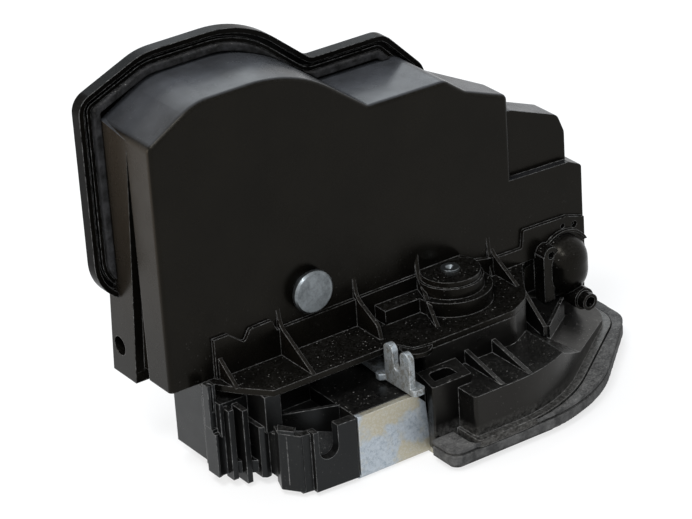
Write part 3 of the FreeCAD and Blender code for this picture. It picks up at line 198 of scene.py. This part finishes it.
def noise(tree, where, scale, detail=4.0, rough=0.55, twist=0.0):
    """Soft random lumps from 0 to 1; scale is about how many fit in a metre."""
    feeds = {"Vector": where, "Scale": scale, "Detail": detail, "Roughness": rough, "Distortion": twist}
    return put(tree, "ShaderNodeTexNoise", feeds).outputs[0]


# edge wear and painted highlight: the corner's softened normal, and a broken mask along the edges, for rubbed
# pale edges and for painted thin highlights
FLAT_FACE = 0.99
SHARP_CORNER = 0.85
WORN_THROUGH = 0.72
edge_wear_and_highlight, start, end = effect("edge_wear_and_highlight", {"Radius": 0.4 * MM, "Break up": 0.5, "Scale": 900.0},
                               {"Normal": "Vector", "Mask": "Float"})
soft = put(edge_wear_and_highlight, "ShaderNodeBevel", {"Radius": start.outputs["Radius"]}, samples=6).outputs[0]
both = {0: soft, 1: own_facing(edge_wear_and_highlight)}
agree = put(edge_wear_and_highlight, "ShaderNodeVectorMath", both, operation="DOT_PRODUCT").outputs["Value"]
bend = ramp(edge_wear_and_highlight, agree, FLAT_FACE, SHARP_CORNER)
chips = noise(edge_wear_and_highlight, own_place(edge_wear_and_highlight), start.outputs["Scale"], 5.0, 0.7)
broken = ramp(edge_wear_and_highlight, chips, start.outputs["Break up"], WORN_THROUGH)
edge_wear_and_highlight.links.new(soft, end.inputs["Normal"])
edge_wear_and_highlight.links.new(product(edge_wear_and_highlight, bend, broken), end.inputs["Mask"])

# dust: a patchy film and fine specks on faces turned up, thinner above a given height
DUST_PATCHES = 70.0
DUST_POWDER = 1300.0
DUST_CRUMBS = 1500.0
SWEPT_AREAS = 110.0
SMALL_CRUMB = 0.10
LARGE_CRUMB = 0.40
DUST_THINS = 20 * MM
dust, start, end = effect("settled_dust", {"Amount": 0.5, "Specks": 0.3, "Clean above": 1.0},
                          {"Mask": "Float"})
where = own_place(dust)
turned_up = xyz(dust, own_facing(dust))[2]
upward = ramp(dust, turned_up, 0.0, 0.95, bottom=0.06)
patches = ramp(dust, noise(dust, where, DUST_PATCHES, 3.0), 0.35, 0.65, bottom=0.35)
powder = ramp(dust, noise(dust, where, DUST_POWDER, 6.0, 0.8), 0.46, 0.70)
film = product(dust, product(dust, upward, patches), product(dust, powder, start.outputs["Amount"]))
crumbs = put(dust, "ShaderNodeTexVoronoi", {"Vector": where, "Scale": DUST_CRUMBS}).outputs
chosen = put(dust, "ShaderNodeSeparateColor", {0: crumbs["Color"]}).outputs
size = ramp(dust, chosen[1], 0.0, 1.0, SMALL_CRUMB, LARGE_CRUMB)
small = ramp(dust, calc(dust, "SUBTRACT", crumbs["Distance"], size), 0.0, -0.1)
swept = ramp(dust, noise(dust, where, SWEPT_AREAS, 4.0, 0.7), 0.35, 0.62, bottom=0.93, top=0.6)
rare = ramp(dust, calc(dust, "SUBTRACT", chosen[0], swept), 0.0, 0.3)
above = calc(dust, "SUBTRACT", xyz(dust, where)[2], start.outputs["Clean above"])
low_down = ramp(dust, above, 0.0, DUST_THINS, bottom=1.0, top=0.04)
lying = product(dust, low_down, ramp(dust, turned_up, 0.0, 0.9, bottom=0.12))
specks = product(dust, product(dust, small, rare), product(dust, lying, start.outputs["Specks"]))
dust.links.new(sum_of(dust, film, specks), end.inputs["Mask"])


def new_finish(name, **constants):
    """A material with its shader; the constants go on the shader's own sockets."""
    finish = bpy.data.materials.new(name)
    finish.use_nodes = True
    tree = finish.node_tree
    shader = tree.nodes["Principled BSDF"]
    for label, value in constants.items():
        shader.inputs[label.replace("_", " ")].default_value = value
    return finish, tree, shader, own_place(tree)


def coat(tree, shader, colour, rough):
    """Give a finish its colour and its roughness."""
    tree.links.new(colour, shader.inputs["Base Color"])
    tree.links.new(rough, shader.inputs["Roughness"])


def emboss(tree, shader, strength, depth, height, normal=None):
    """Give a finish its fine relief, on top of a softened normal at its edges where one is given."""
    feeds = {"Strength": strength, "Distance": depth, "Height": height}
    if normal is not None:
        feeds["Normal"] = normal
    tree.links.new(put(tree, "ShaderNodeBump", feeds).outputs[0], shader.inputs["Normal"])


def dress(finish, *names):
    """Give CAD nodes a finish in place of the one they came with."""
    for name in names:
        mesh = solids[name].data
        mesh.materials.clear()
        mesh.materials.append(finish)


ZINC_BLUE = (0.42, 0.47, 0.52, 1)
ZINC_WARM = (0.43, 0.40, 0.31, 1)
ZINC_PIT = (0.12, 0.12, 0.11, 1)
ZINC_RUBBED = (0.66, 0.69, 0.70, 1)
ZINC_SHADE = (0.20, 0.24, 0.28, 1)
ZINC_CRYSTALS = 85.0
ZINC_GRAIN = 1300.0
ZINC_SHADOWS = 700.0
ZINC_PITS = 430.0
BAND_SCALE = 14.0
BAND_PHASE = -1.1
BAND_SLANT = math.radians(40)
BAND_PULL = 0.16


def zinc_plated(name, blue, warm, dirty):
    """Zinc on steel: slanted bands of bluish crystals in a warmer ground, fine grain, and dirt in a share."""
    finish, tree, shader, where = new_finish(name)
    slanted = put(tree, "ShaderNodeMapping", {"Vector": where, "Rotation": (0, BAND_SLANT, 0)}).outputs[0]
    feeds = {"Vector": slanted, "Scale": BAND_SCALE, "Distortion": 3.0, "Detail": 3.0, "Detail Scale": 6.0,
             "Phase Offset": BAND_PHASE}
    band = put(tree, "ShaderNodeTexWave", feeds, bands_direction="Z").outputs[1]
    drift = noise(tree, where, ZINC_CRYSTALS, 6.0, 0.68, twist=0.6)
    frosted = calc(tree, "ADD", ramp(tree, band, 0.2, 0.8, -BAND_PULL, BAND_PULL), drift)
    blue_here = ramp(tree, frosted, 0.44, 0.58)
    grain = noise(tree, where, ZINC_GRAIN, 5.0, 0.8)
    shadow = ramp(tree, noise(tree, where, ZINC_SHADOWS, 6.0, 0.85), 0.48, 0.60, top=0.55)
    pits = ramp(tree, noise(tree, where, ZINC_PITS, 6.0, 0.8), 0.68 - dirty, 0.76 - dirty)
    rubbed = place_effect(tree, edge_wear_and_highlight, {"Radius": 0.5 * MM, "Break up": 0.4, "Scale": 700.0})
    colour = blended(tree, blue_here, warm, blue)
    colour = blended(tree, ramp(tree, grain, 0.47, 0.60, top=0.30), colour, ZINC_RUBBED)
    colour = blended(tree, product(tree, shadow, blue_here), colour, ZINC_SHADE)
    colour = blended(tree, pits, colour, ZINC_PIT)
    colour = blended(tree, rubbed["Mask"], colour, ZINC_RUBBED)
    coat(tree, shader, colour, ramp(tree, grain, 0.3, 0.7, bottom=0.42, top=0.60))
    tree.links.new(ramp(tree, pits, 0.0, 1.0, bottom=0.75, top=0.3), shader.inputs["Metallic"])
    emboss(tree, shader, 0.4, 0.05 * MM, grain, rubbed["Normal"])
    return finish


zinc = zinc_plated("zinc_steel", ZINC_BLUE, ZINC_WARM, dirty=0.0)
dress(zinc, "face_plate", "back_plate")


# Catch, pawl, pins, screws and the striker buffer
# The fork-shaped catch and the pawl are fine-blanked steel. A dark plastic jacket moulded over the catch
# makes it quiet, and the striker runs on to a rubber buffer at the slot's end. The riveted pins, the stud on
# the panel and the cover's screws are turned or headed from bright steel, and a little smeared.
JACKET_DARK = (0.016, 0.017, 0.018, 1)
JACKET_SCUFF = (0.06, 0.06, 0.058, 1)
JACKET_SCUFFS = 500.0
JACKET_GRAIN = 3000.0
TURNED_STEEL = (0.235, 0.258, 0.272, 1)
TURNED_DULL = (0.125, 0.138, 0.146, 1)
TURNED_SMEARS = 330.0
BUFFER_BLACK = (0.012, 0.012, 0.012, 1)
BUFFER_BLOOM = (0.035, 0.034, 0.032, 1)
BUFFER_CLOUDS = 300.0
jacket, tree, shader, where = new_finish("jacket_plastic", Specular_IOR_Level=0.35)
scuffs = ramp(tree, noise(tree, where, JACKET_SCUFFS, 6.0, 0.7), 0.52, 0.7)
colour = blended(tree, scuffs, JACKET_DARK, JACKET_SCUFF)
coat(tree, shader, colour, ramp(tree, scuffs, 0.0, 1.0, bottom=0.38, top=0.6))
emboss(tree, shader, 0.2, 0.02 * MM, noise(tree, where, JACKET_GRAIN, 3.0))
dress(jacket, "catch_jacket")

turned, tree, shader, where = new_finish("bright_steel", Metallic=1.0)
smear = noise(tree, where, TURNED_SMEARS, 6.0, 0.75)
colour = blended(tree, ramp(tree, smear, 0.4, 0.66), TURNED_STEEL, TURNED_DULL)
coat(tree, shader, colour, ramp(tree, smear, 0.3, 0.7, bottom=0.28, top=0.46))
rubbed = place_effect(tree, edge_wear_and_highlight, {"Radius": 0.35 * MM, "Break up": 0.4, "Scale": 900.0})
emboss(tree, shader, 0.2, 0.03 * MM, smear, rubbed["Normal"])
dress(turned, "catch_pin", "pawl_pin", "mushroom_stud", "lever_pin", "boss_pin", "gear_pin",
      "inner_lever_pin", "cover_screws")
dress(zinc, "catch", "pawl")

buffer, tree, shader, where = new_finish("buffer_rubber", Specular_IOR_Level=0.3, Roughness=0.7)
bloom = ramp(tree, noise(tree, where, BUFFER_CLOUDS, 5.0, 0.6), 0.4, 0.7)
tree.links.new(blended(tree, bloom, BUFFER_BLACK, BUFFER_BLOOM), shader.inputs["Base Color"])
emboss(tree, shader, 0.3, 0.05 * MM, bloom)
dress(buffer, "striker_buffer")


# Springs of the catch, the pawl and the release lever
# Music-wire torsion springs, oiled and grey-brown. Each has about two close coils round its pin and a
# straight leg at each end, one held by the housing and one pushing on the moving piece.
WIRE_GREY = (0.26, 0.25, 0.24, 1)
WIRE_OILED = (0.10, 0.085, 0.07, 1)
WIRE_OIL = 350.0
WIRE_GRAIN = 2400.0
WIRE_SIDES = 12
STEPS_PER_TURN = 32
COIL_GAP = 0.1 * MM
THICK_WIRE = 0.55 * MM
THIN_WIRE = 0.5 * MM
WIDE_COIL = 5.4 * MM
CLOSE_COIL = 4.2 * MM
CATCH_AXIS = (16 * MM, 22 * MM)
PAWL_AXIS = (-16.5 * MM, 36 * MM)
LEVER_AXIS = (-49 * MM, 31 * MM)
ABOVE_CATCH = 9.3 * MM
ABOVE_LEVER = 24.2 * MM
SAME_POINT = 1e-6
wire_steel, tree, shader, where = new_finish("spring_steel", Metallic=1.0)
oiled = ramp(tree, noise(tree, where, WIRE_OIL, 4.0), 0.38, 0.66)
colour = blended(tree, oiled, WIRE_GREY, WIRE_OILED)
coat(tree, shader, colour, ramp(tree, oiled, 0.0, 1.0, bottom=0.42, top=0.28))
emboss(tree, shader, 0.15, 0.01 * MM, noise(tree, where, WIRE_GRAIN, 2.0))


def wind_spring(name, body, axis, low, coil, wire, turns, turned_by, leg):
    """Pull a wire's round end out into one leg, spin it up into coils, and pull it out again."""
    form = bmesh.new()
    bmesh.ops.create_circle(form, segments=WIRE_SIDES, radius=wire)
    bmesh.ops.rotate(form, verts=form.verts, cent=(0, 0, 0), matrix=Matrix.Rotation(math.pi / 2, 3, "X"))
    bmesh.ops.translate(form, verts=form.verts, vec=(coil, 0, wire))
    first = form.edges[:]
    steps = round(turns * STEPS_PER_TURN)
    climb = (2 * wire + COIL_GAP) * turns
    wound = bmesh.ops.spin(form, geom=form.verts[:] + form.edges[:], cent=(0, 0, 0), axis=(0, 0, 1),
                           dvec=(0, 0, climb / steps), angle=2 * math.pi * turns, steps=steps)
    last = [item for item in wound["geom_last"] if isinstance(item, bmesh.types.BMEdge)]
    for rim, way, angle in ((first, -1, 0.0), (last, 1, 2 * math.pi * turns)):
        pulled = bmesh.ops.extrude_edge_only(form, edges=rim)["geom"]
        ends = [item for item in pulled if isinstance(item, bmesh.types.BMVert)]
        reach = Matrix.Rotation(angle, 3, "Z") @ Vector((0, way * leg, 0))
        bmesh.ops.translate(form, verts=ends, vec=reach)
    bmesh.ops.remove_doubles(form, verts=form.verts, dist=SAME_POINT)
    bmesh.ops.holes_fill(form, edges=form.edges, sides=WIRE_SIDES)
    bmesh.ops.rotate(form, verts=form.verts, cent=(0, 0, 0), matrix=Matrix.Rotation(turned_by, 3, "Z"))
    bmesh.ops.translate(form, verts=form.verts, vec=(*axis, low))
    bmesh.ops.recalc_face_normals(form, faces=form.faces)
    for face in form.faces:
        face.smooth = len(face.verts) == 4
    mesh = bpy.data.meshes.new(name + "_coil")
    form.to_mesh(mesh)
    form.free()
    mesh.materials.append(wire_steel)
    spring = bpy.data.objects.new(name + "_coil", mesh)
    bpy.context.scene.collection.objects.link(spring)
    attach(spring, body)
    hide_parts(name)


for name, axis, low, coil, wire, turns, turned_by, leg in (
        ("catch_spring", CATCH_AXIS, ABOVE_CATCH, WIDE_COIL, THICK_WIRE, 1.75, 0, 6 * MM),
        ("pawl_spring", PAWL_AXIS, ABOVE_CATCH, CLOSE_COIL, THIN_WIRE, 2.25, 150, 5 * MM),
        ("lever_spring", LEVER_AXIS, ABOVE_LEVER, CLOSE_COIL, THIN_WIRE, 2.25, 60, 7 * MM)):
    wind_spring(name, "lock_body", axis, low, coil, wire, turns, math.radians(turned_by), leg)


# Latch housing and cable holder
# Black glass-filled plastic mouldings that cover the catch and guide the release cable. The faces are smooth
# and a little wavy, the corners are rubbed pale with painted thin highlights, and grey dust lies on the deck,
# in the ribs and on the comb.
BASE_BLACK = (0.0016, 0.0016, 0.0016, 1)
BASE_GREY = (0.0034, 0.0033, 0.0031, 1)
COOL_SHEEN = (0.90, 0.96, 1.0, 1)
BROWN_SHEEN = (1.0, 0.95, 0.86, 1)
PLASTIC_RUBBED_AND_HIGHLIGHT = (0.34, 0.34, 0.335, 1)
DUST_GREY = (0.20, 0.195, 0.185, 1)
DUSTY_TO_THE_TOP = 1.0
RIM_TOP = 8.0 * MM
FOOT_DUST = 3.6 * MM
FOOT_DRIFTS = 900.0
MOULD_CLOUDS = 35.0
MOULD_SHINE = 90.0
MOULD_WAVES = 45.0
MOULD_GRAIN = 2600.0
WAVE_SHARE = 6.0
GRAIN_SHARE = 0.25
SHINIER = 0.06
DULLER = 0.08


def moulded(name, black, brown, sheen, shine, rough, dusty, specks, clean_above, worn_and_highlight, foot=0.0):
    """Black moulded plastic: cloudy colour, pale edges of rubbed plastic and painted highlight, dust, fine
    grain and slow waves in the surface.

    Dust gathers thickly just above the height of the foot, where one is given.
    """
    finish, tree, shader, where = new_finish(name, Specular_IOR_Level=shine, Specular_Tint=sheen)
    clouds = ramp(tree, noise(tree, where, MOULD_CLOUDS, 5.0, 0.6), 0.35, 0.68)
    rubbed = place_effect(tree, edge_wear_and_highlight, {"Radius": 0.36 * MM, "Break up": 0.36, "Scale": 600.0})
    amounts = {"Amount": dusty, "Specks": specks, "Clean above": clean_above}
    settled = place_effect(tree, dust, amounts)["Mask"]
    if foot:
        near_foot = ramp(tree, xyz(tree, where)[2], foot + FOOT_DUST, foot)
        drifts = ramp(tree, noise(tree, where, FOOT_DRIFTS, 6.0, 0.8), 0.40, 0.66, top=0.45)
        settled = sum_of(tree, settled, product(tree, near_foot, drifts))
    colour = blended(tree, clouds, black, brown)
    # pale edges: partly rubbed plastic, partly painted thin highlights along the rounded corners
    colour = blended(tree, product(tree, rubbed["Mask"], worn_and_highlight), colour, PLASTIC_RUBBED_AND_HIGHLIGHT)
    colour = blended(tree, settled, colour, DUST_GREY)
    uneven = noise(tree, where, MOULD_SHINE, 4.0, 0.6)
    matt = ramp(tree, uneven, 0.3, 0.7, rough - SHINIER, rough + DULLER)
    coat(tree, shader, colour, sum_of(tree, matt, product(tree, settled, 0.2)))
    waves = product(tree, noise(tree, where, MOULD_WAVES, 1.0), WAVE_SHARE)
    fine = product(tree, noise(tree, where, MOULD_GRAIN, 3.0), GRAIN_SHARE)
    emboss(tree, shader, 0.3, 0.03 * MM, calc(tree, "ADD", waves, fine), rubbed["Normal"])
    return finish


dusty_black = moulded("dusty_housing_plastic", BASE_BLACK, BASE_GREY, COOL_SHEEN, shine=0.24, rough=0.30,
                      dusty=0.30, specks=1.0, clean_above=DUSTY_TO_THE_TOP, worn_and_highlight=0.9)
dusty_foot = moulded("dusty_foot_plastic", BASE_BLACK, BASE_GREY, BROWN_SHEEN, shine=0.21, rough=0.30,
                     dusty=0.15, specks=1.0, clean_above=DUSTY_TO_THE_TOP, worn_and_highlight=0.9, foot=RIM_TOP)
dress(dusty_black, "cable_holder")
dress(dusty_foot, "latch_housing")


# Base seal
# A strip of soft black foam pressed round the outer wall of the latch housing, with two lips and a groove
# between them. It seals the latch to the door. It is dusty on top, and its skin is lumpy and unevenly grey.
FOAM_BLACK = (0.034, 0.034, 0.034, 1)
FOAM_GREY = (0.105, 0.104, 0.102, 1)
FOAM_CELLS = 2200.0
FOAM_CLOUDS = 220.0
FOAM_LUMPS = 500.0
FOAM_STEP = 0.3 * MM


def foam_skin(name, dark, grey, dusty):
    """Closed-cell foam: cells a few tenths of a millimetre wide, uneven grey, and dust on top."""
    finish, tree, shader, where = new_finish(name, Specular_IOR_Level=0.2, Roughness=0.85)
    uneven = ramp(tree, noise(tree, where, FOAM_CLOUDS, 6.0, 0.7), 0.4, 0.66)
    settled = place_effect(tree, dust, {"Amount": dusty, "Specks": 0.8})["Mask"]
    colour = blended(tree, settled, blended(tree, uneven, dark, grey), DUST_GREY)
    tree.links.new(colour, shader.inputs["Base Color"])
    cells = put(tree, "ShaderNodeTexVoronoi", {"Vector": where, "Scale": FOAM_CELLS}).outputs["Distance"]
    lumps = noise(tree, where, FOAM_LUMPS, 4.0, 0.6)
    emboss(tree, shader, 0.5, 0.12 * MM, calc(tree, "ADD", cells, lumps))
    return finish


def soften(name, body, finish, rounds):
    """Make a foam piece from the solid's own form: closed, gridded finely, and smoothed at its edges."""
    form = bmesh.new()
    form.from_mesh(solids[name].data)
    bmesh.ops.remove_doubles(form, verts=form.verts, dist=SAME_POINT)
    bmesh.ops.recalc_face_normals(form, faces=form.faces)
    mesh = bpy.data.meshes.new(name + "_foam")
    form.to_mesh(mesh)
    form.free()
    mesh.materials.append(finish)
    piece = bpy.data.objects.new(name + "_foam", mesh)
    bpy.context.scene.collection.objects.link(piece)
    gridded = piece.modifiers.new("grid", "REMESH")
    gridded.mode = "VOXEL"
    gridded.voxel_size = FOAM_STEP
    gridded.use_smooth_shade = True
    rounded = piece.modifiers.new("rounded", "SMOOTH")
    rounded.factor = 0.5
    rounded.iterations = rounds
    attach(piece, body)
    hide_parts(name)


base_foam = foam_skin("base_foam", FOAM_BLACK, FOAM_GREY, dusty=0.9)
soften("base_seal", "lock_body", base_foam, rounds=5)


# Release lever
# The forked outside-release lever under the shelf: blanked 2 mm steel, zinc plated like the plates, with its
# two prongs bent up to take the end of the cable. It turns on a stepped pin riveted into the deck.
GRIMY_BLUE = (0.33, 0.375, 0.41, 1)
GRIMY_GREY = (0.27, 0.295, 0.31, 1)
grimy_zinc = zinc_plated("grimy_zinc_steel", GRIMY_BLUE, GRIMY_GREY, dirty=0.2)
dress(grimy_zinc, "release_lever")


# Actuator housing
# One tall black moulding with the large plain panel, thin ribs to its shelf, the round boss, the rounded cap
# and the pillar. It is glossier and cleaner than the base: dust lies only low on the panel and on the shelf.
# A bluish sheen is painted on the roof, and warm light is painted high on the faces turned to the left.
PLASTIC_BLACK = (0.0016, 0.0015, 0.0013, 1)
PLASTIC_BROWN = (0.0032, 0.0028, 0.0021, 1)
WARM_SHEEN = (1.0, 0.93, 0.79, 1)
ROOF_PAINTED_SHEEN = (0.068, 0.072, 0.080, 1)
PAINTED_SHEEN_CLOUDS = 55.0
PAINTED_SHEEN_FROM = 58 * MM
PAINTED_SHEEN_FULL = 64 * MM
PAINTED_WARM_LIGHT = (0.021, 0.0172, 0.0132, 1)
WARM_LIGHT_FROM = 30 * MM
WARM_LIGHT_FULL = 105 * MM
PANEL_DUST_TOP = 38 * MM
clean_black = moulded("housing_plastic", PLASTIC_BLACK, PLASTIC_BROWN, WARM_SHEEN, shine=0.108, rough=0.24,
                      dusty=0.1, specks=0.8, clean_above=PANEL_DUST_TOP, worn_and_highlight=0.7)
tree = clean_black.node_tree
shader = tree.nodes["Principled BSDF"]
where = own_place(tree)
height = xyz(tree, where)[2]
facing = xyz(tree, own_facing(tree))
# painted sheen: a pale bluish colour on faces turned up near the top, standing in for the lamps' reflection
# on the roof
cloudy = ramp(tree, noise(tree, where, PAINTED_SHEEN_CLOUDS, 4.0, 0.6), 0.3, 0.66, bottom=0.35, top=0.95)
painted_sheen_on_roof = product(tree, ramp(tree, height, PAINTED_SHEEN_FROM, PAINTED_SHEEN_FULL), ramp(tree, facing[2], 0.66, 0.97))
# painted light: a warm brown on faces turned to the left, high on the housing, for warm light falling from
# the left
painted_light_on_left = product(tree, ramp(tree, height, WARM_LIGHT_FROM, WARM_LIGHT_FULL), ramp(tree, facing[0], -0.7, -0.95))
settled = shader.inputs["Base Color"].links[0].from_socket
with_painted_sheen = blended(tree, product(tree, painted_sheen_on_roof, cloudy), settled, ROOF_PAINTED_SHEEN)
tree.links.new(blended(tree, painted_light_on_left, with_painted_sheen, PAINTED_WARM_LIGHT), shader.inputs["Base Color"])
dress(clean_black, "actuator_housing")


# Lock drive and deadlock drive
# Small nickel-plated can motors, each with a brass worm pressed on its shaft. Each worm turns a pale acetal
# gear, and the grey lock lever swings with the lock gear.
CAN_NICKEL = (0.56, 0.55, 0.51, 1)
CAN_STAIN = (0.40, 0.37, 0.31, 1)
WORM_BRASS = (0.62, 0.44, 0.17, 1)
WORM_DULL = (0.38, 0.27, 0.12, 1)
GEAR_CREAM = (0.62, 0.60, 0.53, 1)
GEAR_GREASE = (0.42, 0.38, 0.28, 1)
LEVER_GREY = (0.19, 0.20, 0.21, 1)
LEVER_PALE = (0.27, 0.28, 0.28, 1)
SMALL_GRAIN = 2200.0


def small_part(name, colour, second, cloud, rough, metallic):
    """A small turned or moulded piece: two close colours in clouds, uneven gloss and a fine grain."""
    finish, tree, shader, where = new_finish(name, Metallic=metallic)
    clouds = ramp(tree, noise(tree, where, cloud, 5.0, 0.6), 0.38, 0.68)
    uneven = ramp(tree, clouds, 0.0, 1.0, rough - SHINIER, rough + DULLER)
    coat(tree, shader, blended(tree, clouds, colour, second), uneven)
    softened = place_effect(tree, edge_wear_and_highlight, {"Radius": 0.25 * MM})
    fine = noise(tree, where, SMALL_GRAIN, 3.0)
    emboss(tree, shader, 0.15, 0.02 * MM, fine, softened["Normal"])
    return finish


can = small_part("motor_can", CAN_NICKEL, CAN_STAIN, cloud=150.0, rough=0.34, metallic=1.0)
worm = small_part("worm_brass", WORM_BRASS, WORM_DULL, cloud=300.0, rough=0.32, metallic=1.0)
gear = small_part("gear_plastic", GEAR_CREAM, GEAR_GREASE, cloud=120.0, rough=0.42, metallic=0.0)
lever = small_part("lever_plastic", LEVER_GREY, LEVER_PALE, cloud=110.0, rough=0.45, metallic=0.0)
dress(can, "lock_motor", "deadlock_motor")
dress(worm, "lock_worm", "deadlock_worm")
dress(gear, "lock_gear", "deadlock_gear")
dress(lever, "lock_lever")


# Contact carrier, lead frame, switches and connector pins
# A dark red moulded carrier clips into the box. It holds stamped brass leads that end as the connector's
# pins, and the two small switches that report the lock and the catch.
CARRIER_RED = (0.12, 0.018, 0.014, 1)
CARRIER_DARK = (0.070, 0.012, 0.010, 1)
LEAD_BRASS = (0.66, 0.50, 0.24, 1)
LEAD_DULL = (0.46, 0.33, 0.16, 1)
red_plastic = small_part("switch_plastic", CARRIER_RED, CARRIER_DARK, cloud=90.0, rough=0.45, metallic=0.0)
leads = small_part("contact_brass", LEAD_BRASS, LEAD_DULL, cloud=250.0, rough=0.3, metallic=1.0)
dress(red_plastic, "contact_carrier", "lock_switch", "catch_switch")
dress(leads, "lead_frame", "connector_pins")


# Cover seal
# A thin strip of the same foam in the channel of the rear cover's rim, pressed against the roof of the box.
# What shows of it is a dull grey line.
CHANNEL_BLACK = (0.003, 0.003, 0.003, 1)
CHANNEL_GREY = (0.034, 0.034, 0.036, 1)
cover_foam = foam_skin("cover_foam", CHANNEL_BLACK, CHANNEL_GREY, dusty=0.35)
soften("cover_seal", "lock_body", cover_foam, rounds=3)


# Rear cover
# The second large black moulding, with a channelled rim, a shallow dome over the gears and the shrouded
# connector. Six screws hold it to the box.
COVER_DUST_TOP = 90 * MM
cover_black = moulded("cover_plastic", PLASTIC_BLACK, PLASTIC_BROWN, COOL_SHEEN, shine=0.025, rough=0.22,
                      dusty=0.05, specks=0.6, clean_above=COVER_DUST_TOP, worn_and_highlight=0.9)
dress(cover_black, "rear_cover")


# Inner release lever
# A flat lever on the back of the box, blanked from steel and zinc plated like the plates. The cable from the
# inside door handle turns it on its own pin.
dress(zinc, "inner_release_lever")

# colours as they are written
bpy.context.scene.view_settings.view_transform = "Standard"
